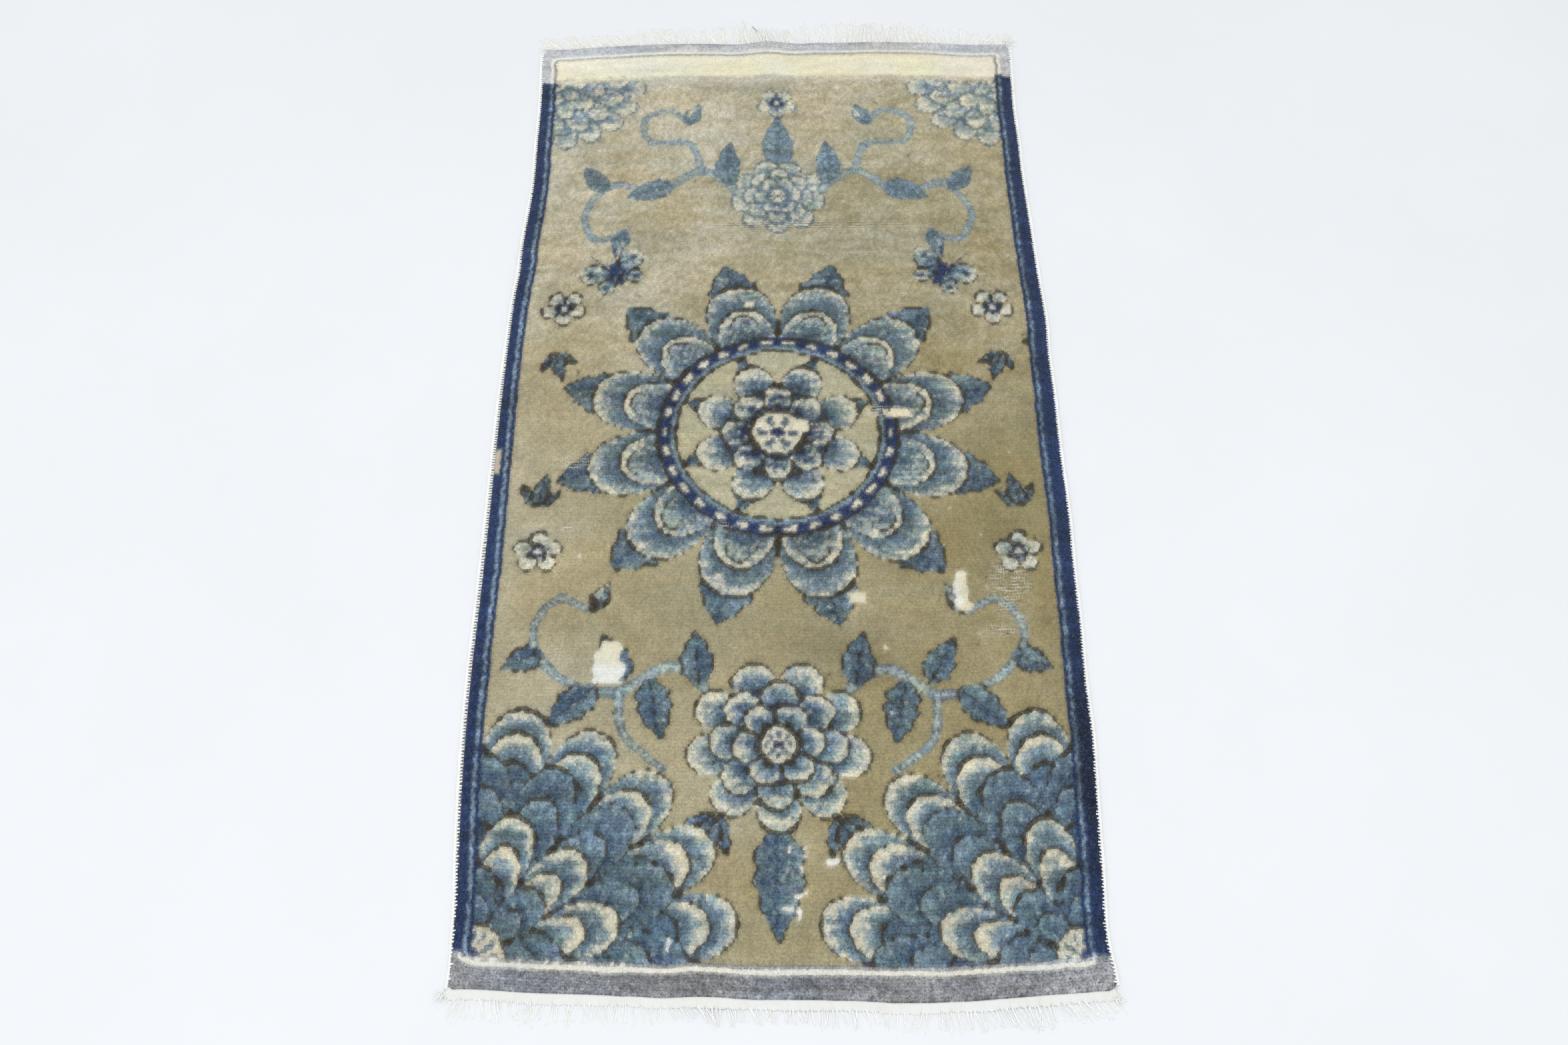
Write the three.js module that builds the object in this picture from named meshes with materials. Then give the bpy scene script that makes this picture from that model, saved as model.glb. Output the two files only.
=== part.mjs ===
// A small hand-knotted Chinese wool rug, lying flat on its back: the knotted body,
// the overcast cord along each side, and the woven web with its warp fringe at each end.
// Millimetres. +X runs across the rug, +Y from the near end to the far end, +Z up.

import * as THREE from 'three';

// Driving dimensions of the knotted body
const RUG_WIDTH = 610;
const RUG_LENGTH = 1220;
const RUG_THICKNESS = 7;
const EDGE_ROUND = 1.2;
const CORNER_STEPS = 6;

// Driving dimensions of the side cords and the ends
const PIECE_GAP = 0.3;
const CORD_GAP = 0.5;
const CORD_OVERRUN = 8;
const CORD_WIDTH = 4.6;
const CORD_HEIGHT = 5;
const CORD_STEPS = 80;
const CORD_FLAT = 0.5;
const CORD_SHOULDER = 0.4;
const NEAR_WEB_WIDTH = 9.5;
const FAR_WEB_WIDTH = 5;
const WEB_THICKNESS = 2.4;
const STRAND_PITCH = 7.2;
const STRAND_ROOT_WIDTH = 4.4;
const STRAND_TIP_WIDTH = 1.4;
const VALLEY_DEPTH = 1;
const VALLEY_CHANGE = 0.45;
const VALLEY_RHYTHM = 2.1;

// The woven outline. Each row says how far an edge stands outside the nominal
// rectangle (out) at a distance from the middle of that edge (along).
const LEFT_EDGE = [
  { along: -598, out: -0.8 },
  { along: -545, out: 0.2 },
  { along: -490, out: 3.5 },
  { along: -400, out: 7 },
  { along: -300, out: 9 },
  { along: -190, out: 9 },
  { along: -100, out: 10 },
  { along: 20, out: 10 },
  { along: 120, out: 8.5 },
  { along: 200, out: 6.8 },
  { along: 285, out: 4 },
  { along: 360, out: -0.8 },
  { along: 450, out: 0 },
  { along: 540, out: -0.2 },
  { along: 596, out: 2.6 },
];
const RIGHT_EDGE = [
  { along: -598, out: 0.8 },
  { along: -565, out: -3.6 },
  { along: -510, out: -2.2 },
  { along: -425, out: 1.8 },
  { along: -330, out: 3.8 },
  { along: -240, out: 4 },
  { along: -172, out: 3.8 },
  { along: -110, out: 6 },
  { along: -40, out: 4.2 },
  { along: 60, out: 5.2 },
  { along: 150, out: 5.6 },
  { along: 230, out: 2.5 },
  { along: 310, out: 0 },
  { along: 400, out: -3 },
  { along: 490, out: -5 },
  { along: 545, out: -3 },
  { along: 598, out: -1.6 },
];
const NEAR_EDGE = [
  { along: -294, out: -4 },
  { along: -240, out: -1 },
  { along: -165, out: 2 },
  { along: -105, out: 5 },
  { along: -20, out: 6.6 },
  { along: 50, out: 8 },
  { along: 125, out: 11 },
  { along: 186, out: 9 },
  { along: 240, out: 4.8 },
  { along: 292, out: 2.2 },
];
const FAR_EDGE = [
  { along: -294, out: 0.6 },
  { along: -225, out: 4 },
  { along: -150, out: 8 },
  { along: -75, out: 7.4 },
  { along: -8, out: 11 },
  { along: 35, out: 8 },
  { along: 75, out: 9 },
  { along: 130, out: 6.8 },
  { along: 175, out: 8 },
  { along: 235, out: 4.8 },
  { along: 290, out: 2.4 },
];

// How the warp ends lie: the lean of a strand from the straight-out direction,
// in degrees towards +X, and the strand's length, by distance from the middle.
const NEAR_FRINGE = [
  { along: -303, lean: -60, length: 11 },
  { along: -290, lean: -8, length: 14 },
  { along: -250, lean: 4, length: 14 },
  { along: -200, lean: 0, length: 12 },
  { along: -150, lean: 6, length: 11 },
  { along: -112, lean: 12, length: 12 },
  { along: -85, lean: 44, length: 14 },
  { along: -55, lean: 10, length: 14 },
  { along: -28, lean: 28, length: 14 },
  { along: 5, lean: 0, length: 11 },
  { along: 45, lean: 8, length: 14 },
  { along: 100, lean: 4, length: 10 },
  { along: 123, lean: -10, length: 16 },
  { along: 155, lean: 8, length: 17 },
  { along: 195, lean: 32, length: 20 },
  { along: 222, lean: 14, length: 21 },
  { along: 250, lean: 24, length: 19 },
  { along: 278, lean: 38, length: 20 },
  { along: 295, lean: 42, length: 14 },
  { along: 304, lean: 60, length: 10 },
];
const FAR_FRINGE = [
  { along: -302, lean: -52, length: 18 },
  { along: -280, lean: -40, length: 22 },
  { along: -245, lean: -38, length: 24 },
  { along: -205, lean: -35, length: 24 },
  { along: -165, lean: -25, length: 22 },
  { along: -130, lean: -25, length: 26 },
  { along: -90, lean: -18, length: 20 },
  { along: -52, lean: -5, length: 33 },
  { along: -20, lean: -24, length: 20 },
  { along: 25, lean: -15, length: 26 },
  { along: 55, lean: -5, length: 25 },
  { along: 88, lean: 12, length: 30 },
  { along: 122, lean: 12, length: 30 },
  { along: 150, lean: 0, length: 26 },
  { along: 178, lean: -6, length: 30 },
  { along: 205, lean: -26, length: 31 },
  { along: 235, lean: 0, length: 26 },
  { along: 265, lean: 28, length: 24 },
  { along: 292, lean: 30, length: 22 },
  { along: 302, lean: 45, length: 23 },
];

// The four corners between the edges, which the outline rounds off
const CORNERS = {
  nearLeft: new THREE.Vector2(-304.5, -606.5),
  nearRight: new THREE.Vector2(306, -613),
  farRight: new THREE.Vector2(303.4, 613),
  farLeft: new THREE.Vector2(-307.4, 611.5),
};

const woolBlue = new THREE.MeshStandardMaterial({ color: 0x4a5f80, roughness: 0.95, metalness: 0 });
const cottonWhite = new THREE.MeshStandardMaterial({ color: 0xf1ede0, roughness: 0.9, metalness: 0 });

function leftPoint(row) {
  return new THREE.Vector2(-RUG_WIDTH / 2 - row.out, row.along);
}

function rightPoint(row) {
  return new THREE.Vector2(RUG_WIDTH / 2 + row.out, row.along);
}

function nearPoint(row) {
  return new THREE.Vector2(row.along, -RUG_LENGTH / 2 - row.out);
}

function farPoint(row) {
  return new THREE.Vector2(row.along, RUG_LENGTH / 2 + row.out);
}

// A smooth edge through the rows of its table
function edgeCurve(rows, toPoint) {
  return new THREE.SplineCurve(rows.map(toPoint));
}

const leftCurve = edgeCurve(LEFT_EDGE, leftPoint);
const rightCurve = edgeCurve(RIGHT_EDGE, rightPoint);
const nearCurve = edgeCurve(NEAR_EDGE, nearPoint);
const farCurve = edgeCurve(FAR_EDGE, farPoint);

// Two points on an edge for each stretch between the rows of its table
function edgePoints(curve) {
  return curve.getPoints(2 * (curve.points.length - 1));
}

function traceEdge(outline, points) {
  for (const point of points) {
    outline.lineTo(point.x, point.y);
  }
}

function roundCorner(outline, corner, next) {
  outline.quadraticCurveTo(corner.x, corner.y, next.x, next.y);
}

// The body's outline, anticlockwise from the near left corner
function bodyOutline() {
  const near = edgePoints(nearCurve);
  const right = edgePoints(rightCurve);
  const far = edgePoints(farCurve).reverse();
  const left = edgePoints(leftCurve).reverse();
  const outline = new THREE.Shape();
  outline.moveTo(near[0].x, near[0].y);
  traceEdge(outline, near.slice(1));
  roundCorner(outline, CORNERS.nearRight, right[0]);
  traceEdge(outline, right.slice(1));
  roundCorner(outline, CORNERS.farRight, far[0]);
  traceEdge(outline, far.slice(1));
  roundCorner(outline, CORNERS.farLeft, left[0]);
  traceEdge(outline, left.slice(1));
  roundCorner(outline, CORNERS.nearLeft, near[0]);
  return outline;
}

// Foundation and pile as one slab with rounded arrises
function rugBody() {
  const geometry = new THREE.ExtrudeGeometry(bodyOutline(), {
    depth: RUG_THICKNESS - 2 * EDGE_ROUND,
    bevelThickness: EDGE_ROUND,
    bevelSize: EDGE_ROUND,
    bevelOffset: -EDGE_ROUND,
    bevelSegments: 2,
    curveSegments: CORNER_STEPS,
  });
  geometry.translate(0, 0, EDGE_ROUND);
  return new THREE.Mesh(geometry, woolBlue);
}

// An overcast cord's section: x is down and y is across, with a flat underside
function cordSection() {
  const half = CORD_WIDTH / 2;
  const high = CORD_HEIGHT / 2;
  const section = new THREE.Shape();
  section.moveTo(high, -half * CORD_FLAT);
  section.lineTo(high, half * CORD_FLAT);
  section.lineTo(high * CORD_SHOULDER, half);
  section.lineTo(-high * CORD_SHOULDER, half);
  section.lineTo(-high, half * CORD_FLAT);
  section.lineTo(-high, -half * CORD_FLAT);
  section.lineTo(-high * CORD_SHOULDER, -half);
  section.lineTo(high * CORD_SHOULDER, -half);
  return section;
}

// A cord along one side, a gap outside the body's edge, running past the rounded corners.
// side is -1 left, +1 right.
function sideCord(curve, side) {
  const edge = edgePoints(curve);
  const nearEnd = edge[0].clone().addScaledVector(curve.getTangent(0), -CORD_OVERRUN);
  const farEnd = edge[edge.length - 1].clone().addScaledVector(curve.getTangent(1), CORD_OVERRUN);
  const offset = CORD_GAP + CORD_WIDTH / 2;
  const route = [nearEnd, ...edge, farEnd].map((point) => {
    return new THREE.Vector3(point.x + side * offset, point.y, CORD_HEIGHT / 2);
  });
  const geometry = new THREE.ExtrudeGeometry(cordSection(), {
    steps: CORD_STEPS,
    extrudePath: new THREE.CatmullRomCurve3(route),
  });
  return new THREE.Mesh(geometry, cottonWhite);
}

// Linear interpolation of one column of a table at a distance along the edge
function readColumn(rows, along, column) {
  const next = rows.findIndex((row) => row.along >= along);
  if (next <= 0) {
    return rows[next === 0 ? 0 : rows.length - 1][column];
  }
  const before = rows[next - 1];
  const after = rows[next];
  const share = (along - before.along) / (after.along - before.along);
  return THREE.MathUtils.lerp(before[column], after[column], share);
}

// One strand's four outline points, from the web's outer edge out to its tip and back
function strandPoints(along, edgeAt, fringe, outward) {
  const lean = THREE.MathUtils.degToRad(readColumn(fringe, along, 'lean'));
  const length = readColumn(fringe, along, 'length');
  const tipAlong = along + length * Math.sin(lean);
  const tipOut = outward * length * Math.cos(lean);
  const middle = edgeAt(along);
  return [
    new THREE.Vector2(along - STRAND_ROOT_WIDTH / 2, edgeAt(along - STRAND_ROOT_WIDTH / 2)),
    new THREE.Vector2(tipAlong - STRAND_TIP_WIDTH / 2, middle + tipOut),
    new THREE.Vector2(tipAlong + STRAND_TIP_WIDTH / 2, middle + tipOut),
    new THREE.Vector2(along + STRAND_ROOT_WIDTH / 2, edgeAt(along + STRAND_ROOT_WIDTH / 2)),
  ];
}

// The web's scalloped edge between two strands, cut in by a depth that keeps changing
function valleyPoint(strand, along, edgeAt, outward) {
  const depth = VALLEY_DEPTH + VALLEY_CHANGE * Math.sin(VALLEY_RHYTHM * strand);
  return new THREE.Vector2(along, edgeAt(along) - outward * depth);
}

// The web and its strands as one comb. outward is -1 at the near end, +1 at the far end.
function fringeComb(curve, edgeRows, fringe, webWidth, outward) {
  const innerEdge = edgePoints(curve).reverse();
  for (const point of innerEdge) {
    point.y += outward * PIECE_GAP;
  }
  const outerEdge = (along) => {
    const out = readColumn(edgeRows, along, 'out') + PIECE_GAP + webWidth;
    return outward * (RUG_LENGTH / 2 + out);
  };
  const first = fringe[0].along;
  const last = fringe[fringe.length - 1].along;
  const strandCount = Math.round((last - first) / STRAND_PITCH);
  const pitch = (last - first) / strandCount;
  const comb = new THREE.Shape();
  comb.moveTo(last + STRAND_ROOT_WIDTH / 2, innerEdge[0].y);
  traceEdge(comb, innerEdge);
  comb.lineTo(first - STRAND_ROOT_WIDTH / 2, innerEdge[innerEdge.length - 1].y);
  for (let strand = 0; strand <= strandCount; strand += 1) {
    const along = first + strand * pitch;
    traceEdge(comb, strandPoints(along, outerEdge, fringe, outward));
    if (strand < strandCount) {
      traceEdge(comb, [valleyPoint(strand, along + pitch / 2, outerEdge, outward)]);
    }
  }
  const geometry = new THREE.ExtrudeGeometry(comb, { depth: WEB_THICKNESS, bevelEnabled: false });
  return new THREE.Mesh(geometry, cottonWhite);
}

function named(mesh, name) {
  mesh.name = name;
  return mesh;
}

const rug = new THREE.Group();
rug.add(named(rugBody(), 'rug_body'));
rug.add(named(sideCord(leftCurve, -1), 'side_cord_left'));
rug.add(named(sideCord(rightCurve, 1), 'side_cord_right'));
rug.add(named(fringeComb(nearCurve, NEAR_EDGE, NEAR_FRINGE, NEAR_WEB_WIDTH, -1), 'end_fringe_near'));
rug.add(named(fringeComb(farCurve, FAR_EDGE, FAR_FRINGE, FAR_WEB_WIDTH, 1), 'end_fringe_far'));

// The origin is on the floor, under the middle of the whole rug
const extent = new THREE.Box3().setFromObject(rug);
const middle = extent.getCenter(new THREE.Vector3());
rug.position.set(-middle.x, -middle.y, -extent.min.z);

export default rug;
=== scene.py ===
import math

import bpy
import numpy as np
from mathutils import Euler, Matrix, Vector


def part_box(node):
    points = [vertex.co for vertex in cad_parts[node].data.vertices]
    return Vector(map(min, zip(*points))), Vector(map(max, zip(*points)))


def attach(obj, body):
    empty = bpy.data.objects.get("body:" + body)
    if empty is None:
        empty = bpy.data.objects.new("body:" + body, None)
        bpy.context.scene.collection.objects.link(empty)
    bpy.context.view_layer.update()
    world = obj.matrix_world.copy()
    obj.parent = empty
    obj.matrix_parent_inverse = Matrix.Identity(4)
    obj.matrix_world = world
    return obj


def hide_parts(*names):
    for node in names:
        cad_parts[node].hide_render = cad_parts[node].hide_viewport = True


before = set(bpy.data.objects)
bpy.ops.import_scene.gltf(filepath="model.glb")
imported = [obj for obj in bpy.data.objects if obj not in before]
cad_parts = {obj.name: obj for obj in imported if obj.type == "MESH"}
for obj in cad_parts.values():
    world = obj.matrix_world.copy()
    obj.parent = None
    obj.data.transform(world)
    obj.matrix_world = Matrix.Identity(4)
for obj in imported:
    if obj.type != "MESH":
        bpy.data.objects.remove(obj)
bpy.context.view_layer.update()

# A small hand-knotted Chinese wool rug on a pale floor: the knotted body with its
# border and field, the overcast cord along each side, and the web and fringe at each end.
# Lengths are millimetres until a mesh is made. +X runs across the rug, +Y to the far end.

TAU = 2 * math.pi
MM = 0.001
DEG = math.pi / 180
UP = np.array([0.0, 0.0, 1.0])

# The names of the sides and the ends, which tables and functions number -1 and 1
SIDE_NAMES = {-1: "left", 1: "right"}
END_NAMES = {-1: "near", 1: "far"}

# Knotted body
RUG_WIDTH = 610.0
RUG_LENGTH = 1220.0
HALF_WIDTH = RUG_WIDTH / 2
HALF_LENGTH = RUG_LENGTH / 2
PILE_TOP = 6.5
RIM_WIDTH = 5.0
SIDE_RIM_DROP = 1.6
NEAR_RIM_DROP = 0.9
FAR_RIM_DROP = 0.3
OUTLINE_DEPTH = 0.55
NAVY_RISE = 0.18
WORN_DEPTH = 1.3
ROW_SHIFT = 0.9
FIELD_COLUMNS = 206
FIELD_ROWS = 319
FIELD_FAR_END = 545

# Layers of soft noise, each with its strength, its blob size in rows and knots, and its seed:
# how far knots are shifted across and along the rug, and how rough the pile is, in mm
SHIFT_ACROSS = ((0.6, (1, 1), 51),)
SHIFT_ALONG = ((0.6, (1, 1), 52), (0.8, (5, 18), 53))
PILE_ROUGHNESS = ((0.22, (1, 1), 54), (0.16, (5, 6), 55))

# Rings between the pile's edge and the underside: height, how far outside the edge they lie, and
# how far outside it they are drawn on the flat map
EDGE_RINGS = ((3.6, 0.35, 2.0), (1.1, 0.1, 4.5))

# The underside: its height, which varies by as much again, and how far its rim is drawn in
BACK_HEIGHT = 0.25
BACK_INSET = 1.2

# The part of the floor that each half of the flat map shows
MAP_WIDTH = 660
MAP_LENGTH = 1290

# Bands that run along the edges, from the outside in: width in mm and knots across
SIDE_BANDS = ((13.0, 5), (3.8, 2), (3.6, 2))
NEAR_BANDS = ((23.7, 7), (4.9, 2), (3.1, 1))
FAR_BANDS = ((15.0, 4), (4.2, 2), (3.0, 1))

# Where the line inside the outer band starts and ends, and where the border ends
SIDE_LINE, SIDE_LINE_END, SIDE_END = np.cumsum([width for width, knots in SIDE_BANDS])
NEAR_LINE, NEAR_LINE_END, NEAR_END = np.cumsum([width for width, knots in NEAR_BANDS])
FAR_LINE, FAR_LINE_WIDTH = FAR_BANDS[0][0], FAR_BANDS[1][0]

# The thin gray line inside the far white one, and the round of both at the corners
THIN_LINE_WIDTH = 3.2
LINE_CORNER = 9.0

# How wide and long one knot of the field is
KNOT_WIDTH = 2.77
KNOT_LENGTH = 3.66

# Where the navy sides give way to gray at their outer edge, left and right, and how much
# farther for each mm inwards; and where the field gives way to yellow
SIDE_JOIN = {-1: (546.0, 0.2), 1: (549.0, 0.4)}
FIELD_JOIN = (554, 549)

# How ragged the field's join is, in mm: a layer of soft noise, and knot by knot
JOIN_NOISE = (1.2, (2, 40), 22)
JOIN_SCATTER = 0.8

# How deep the pale ground below the yellow is, left and right
FADE_DEPTHS = (46, 13)

# Where the near white line starts and stops, in from the left and right edges
NEAR_LINE_STARTS = (6.5, 14.0)

# The outline as the rug lies: distance along an edge from its middle, and how far
# the edge stands outside the nominal rectangle. The first and last rows are the corners.
LEFT_EDGE = (
    (-606.5, 1.2), (-598, 0.4), (-560, 0.9), (-530, 1.2), (-490, 3.3), (-400, 8), (-300, 10.1), (-190, 9.2),
    (-100, 9), (20, 9.4), (120, 8.2), (205, 5.6), (235, 3.2), (265, 3), (295, 2.1), (325, 0.1), (370, -2.1),
    (445, -1.4), (505, -1), (540, 0), (596, 2.6), (611.5, 2.4),
)
RIGHT_EDGE = (
    (-613, 0), (-598, -0.4), (-565, -4), (-510, -1.8), (-425, 1.6), (-365, 4.3), (-305, 3.5), (-240, 4.9),
    (-172, 4.7), (-110, 6), (-40, 4.8), (60, 5.1), (115, 4.4), (150, 5.6), (230, 2.3), (310, -0.2), (400, -3),
    (445, -2.9), (490, -4.2), (545, -3.2), (598, -1.6), (613, -1.6),
)
NEAR_EDGE = (
    (-304.5, -3.5), (-294, -4), (-278, -3.8), (-240, -1), (-165, 2), (-140, 3.2), (-105, 5), (-80, 4.4),
    (-60, 5), (-20, 6.9), (50, 8.2), (125, 11), (186, 8.8), (240, 5), (270, 2.9), (292, 1.6), (306, 1.5),
)
FAR_EDGE = (
    (-307.4, 2), (-294, 1.3), (-230, 5.8), (-190, 8.3), (-150, 10), (-110, 10.7), (-90, 10.3), (-70, 9),
    (-50, 8.4), (-30, 10.8), (-8, 12.3), (10, 10.2), (30, 8.8), (50, 10.2), (75, 9.9), (130, 10), (175, 9.4),
    (210, 7.4), (250, 4.2), (290, 4.2), (303.4, 3.8),
)
SIDE_EDGES = {-1: LEFT_EDGE, 1: RIGHT_EDGE}
END_EDGES = {-1: NEAR_EDGE, 1: FAR_EDGE}

# How much each corner is rounded: side, end and radius
CORNERS = ((-1, -1, 7), (1, -1, 9), (-1, 1, 9), (1, 1, 7))

# The near white line bows: distance across the rug, and how far the line lies up the rug
NEAR_BOW = (
    (-305, 5), (-298, 3.8), (-290, -0.5), (-280, -3.6), (-260, -4), (-240, -3.6), (-180, -4.2), (-160, -5),
    (-140, -3.8), (-110, -3.6), (-80, -1.8), (-60, -2.2), (-30, -3.3), (20, -2.7), (60, -1.9),
    (100, -1.6), (120, -1), (140, -2.2), (180, -1.9), (200, -2), (220, -1.7), (240, -2.8), (260, -2),
    (280, -2.2), (289, -0.9), (305, -0.5),
)
BOW_REACH = 45

# The thin side lines wander: distance along the rug, and how far they lie outwards
LEFT_WANDER = (
    (-578, 3), (-520, 2.4), (-440, 3.4), (-360, 3.4), (-300, 2.2), (-240, 2.9), (-160, 1.9), (-100, 2.4),
    (0, 3), (80, 4), (160, 3.6), (220, 2.6), (320, 1.3), (440, 2.4), (520, 2), (545, 2.2), (600, 1.8),
)
RIGHT_WANDER = (
    (-578, -1), (-480, -1.2), (-400, -2), (-350, -2.2), (-300, -1.1), (-250, -1.4), (-120, -1.2), (0, -2.8),
    (120, -1.8), (200, -2.2), (300, -1.5), (430, -0.4), (545, 0),
)
WANDERS = {-1: LEFT_WANDER, 1: RIGHT_WANDER}
WANDER_MIDDLE = 15
WANDER_REACH = 32

# Soft ripples in the way the rug lies: middle x, y, half width, half length and rise
RIPPLES = (
    (-62, -612, 24, 60, 1.8),
    (30, -615, 40, 40, 0.8),
    (215, -600, 50, 60, 1.0),
    (-15, 612, 26, 50, 1.8),
    (130, 612, 30, 40, 1.0),
    (-295, 240, 40, 70, 1.2),
    (295, -60, 40, 130, 0.9),
)

# Overcast side cords
CORD_WIDTH = 4.1
CORD_HEIGHT = 4.6
CORD_GAPS = {
    -1: ((-606, -2.2), (-560, -2), (-530, -1.2), (-490, 0), (-430, 0.5), (604, 0.5)),
    1: ((-606, 0.5), (606, 0.5)),
}
CORD_ENDS = {-1: (-606, 604), 1: (-606, 606)}
WRAP_PITCH = 1.75
WRAP_RINGS = 4
CORD_SIDES = 12
WRAP_RIDGE = 0.13
WRAP_UNEVENNESS = 0.18

# Swellings of the cords: share of the width, length in rings, and what is added to the seed
CORD_SWELLS = ((0.09, 40, 10), (0.05, 5, 20))

# Overcasting stitches that hold each cord to the pile: distance along the rug, and how far in
# they reach, left and right
STITCH_REACH = {
    -1: ((-606, 1.8), (-575, 1.9), (-480, 1.2), (-400, 0.7), (-300, 0.6), (-100, 0.6), (0, 0.4), (604, 0.4)),
    1: ((-606, 1), (-500, 0.9), (-300, 0.6), (0, 0.4), (300, 0.5), (604, 0.4)),
}
STITCH_PITCH = 3.4
STITCH_RADIUS = 0.85
STITCH_STEPS = 7
STITCH_SCATTER = 0.5
STITCH_SLANTS = (-0.6, 1.4)
STITCH_REACHES = (0.2, 1.8)
STITCH_WIDTHS = (0.8, 1.2)
STITCH_ON_CORD = 0.15
STITCH_ON_PILE = 0.3
STITCH_DIP = 1.1

# Woven webs and fringes
WEB_WIDTHS = {-1: 9.2, 1: 5.0}
WEB_HEIGHTS = {-1: (4.8, 1.5), 1: (3.0, 1.2)}
WEB_OVERLAPS = {-1: 1.4, 1: 0.2}
WEB_STATIONS = 900
GATHER_PITCH = 9.8
GATHER_UNEVENNESS = 0.35
GATHER_TUCK = 0.5
NOTCH_DEPTH = 1.5
NOTCH_UNEVENNESS = 0.9
PICK_PITCH = 1.3
PICK_RELIEF = 0.09
WARP_PITCH = 2.75
WARP_RELIEF = 0.06
STRANDS = {-1: 420, 1: 480}
LOCK_STRANDS = 3
STRAND_STEPS = 10
PLY_SIDES = 5
PLY_RADIUS = 0.25
PLY_TWIST = 3.6
FLATNESS = 0.4
ROOT_HEIGHT = 1.3
ROOT_DEPTHS = (1.5, 4)

# How much strands differ in their places in mm and their leans in degrees, first lock by lock
# and then one by one; how much the lean sways along an end; and how they curl, wave and arch
ROOT_SCATTERS = (0.8, 0.6)
LEAN_SCATTERS = (7, 5)
LEAN_SWAY = 9
STRAND_CURL = 12
STRAND_WAVE = 7
STRAND_ARCH = 0.3

# Red, green and blue brightness of each kind of cotton; the far fringe's strands are a lighter
# copy of the near ones, a painted lift against the shade between them
CORD_TINT = (1.14, 1.15, 1.16)
WEB_TINT = (0.89, 0.9, 0.9)
# Far strands: the same warp cotton, painted lighter to offset the shade between them
STRAND_TINTS = {-1: (1.11, 1.13, 1.13), 1: (1.17, 1.17, 1.1)}
STRAND_SHEEN = {-1: 0.6, 1: 1.0}

# How the warp ends lie: distance across the rug, lean from straight out in degrees
# towards +X, and length
NEAR_FRINGE = (
    (-303, -35, 16), (-290, -8, 20), (-250, 4, 20), (-200, 0, 18), (-150, 6, 16), (-112, 12, 15),
    (-85, 44, 15), (-55, 10, 16), (-28, 28, 15), (5, 0, 13), (45, 8, 16), (100, 4, 14), (123, -10, 17),
    (155, 8, 18), (195, 32, 20), (222, 14, 21), (250, 24, 20), (278, 38, 21), (295, 42, 18), (304, 40, 14),
)
FAR_FRINGE = (
    (-302, -24, 24), (-280, -40, 32), (-245, -38, 34), (-205, -35, 34), (-165, -25, 31), (-130, -25, 34),
    (-90, -18, 30), (-66, -12, 38), (-50, -5, 46), (-36, -14, 36), (-20, -24, 32), (25, -15, 36),
    (55, -5, 36), (88, 12, 40), (122, 12, 40), (150, 0, 36), (178, -6, 38), (205, -26, 36), (235, 0, 31),
    (265, 28, 28), (292, 30, 25), (302, 36, 24),
)
FRINGES = {-1: NEAR_FRINGE, 1: FAR_FRINGE}

# Tangles of loose ends at the corners: middle x, y, how far they spread, lean, length and count
TUFTS = {
    -1: ((-309, -612, 4.5, -80, 7, 28), (-302, -607, 2, -60, 5, 9), (306, -617, 4, 50, 6, 22)),
    1: ((-306, 617, 3.5, -40, 9, 12), (303, 621, 3.5, 40, 14, 26)),
}

# A stray end of gray-blue wool that lies on the far fringe
STRAY_END = ((-34, 656), (-32, 652.5), (-29.5, 649.5), (-27, 645))
STRAY_HEIGHT = 2.9
STRAY_PLY_RADIUS = 0.35
STRAY_PLY_OFFSET = 0.3
STRAY_TWIST = 4

# Share of the light on the rug that a dye gives back to look as it does in the table of wools
DAYLIGHT = 0.8

# Wools and cottons as they look in daylight, in red, green and blue (sRGB), and how strongly
# the shade drifts from row to row and knot to knot
WOOLS = {
    "camel": (164, 155, 122, 0.06),
    "pale_camel": (184, 178, 148, 0.06),
    "ivory": (212, 208, 186, 0.07),
    "pale_blue": (158, 167, 160, 0.09),
    "light_blue": (124, 143, 151, 0.12),
    "slate": (95, 112, 120, 0.13),
    "mid_blue": (78, 98, 113, 0.14),
    "deep_blue": (56, 74, 93, 0.14),
    "navy": (36, 53, 89, 0.16),
    "line_blue": (116, 135, 152, 0.22),
    "brown": (54, 48, 34, 0.12),
    "near_gray": (130, 133, 138, 0.14),
    "dark_gray": (104, 105, 112, 0.14),
    "soft_gray": (150, 152, 158, 0.14),
    # far_gray is lighter than near_gray partly as a lighter rewoven yarn, partly as painted haze of light
    # from beyond the far end
    "far_gray": (194, 196, 199, 0.08),
    "thin_gray": (158, 158, 153, 0.08),
    "yellow": (240, 235, 207, 0.03),
    "straw": (208, 202, 182, 0.07),
    "fawn": (196, 190, 167, 0.07),
    "dark_green": (52, 60, 40, 0.03),
    "white": (234, 234, 224, 0.03),
    "cream": (226, 220, 194, 0.03),
    "beige": (186, 176, 160, 0.03),
}
NAMES = list(WOOLS)
COLOURS = np.array([row[:3] for row in WOOLS.values()], float) / 255
DRIFTS = np.array([row[3] for row in WOOLS.values()])
FULL_DRIFT = 0.14

# A wool's drift: layers of soft noise along the rows and in patches, and weft by weft. The
# ground's is weaker along the rows, but its single knots differ more where it is grainy,
# which comes on past a place along the rug over a length.
ROW_NOISES = ((0.4, (6, 400), 42), (0.55, (1, 24), 43), (0.8, (1, 8), 44))
PATCH_NOISE = (0.5, (8, 10), 45)
WEFT_DRIFT = 0.25
GROUND_DRIFT = 0.4
GROUND_GRAIN = 0.9
GRAINY_FROM = (-40, 240)
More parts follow.
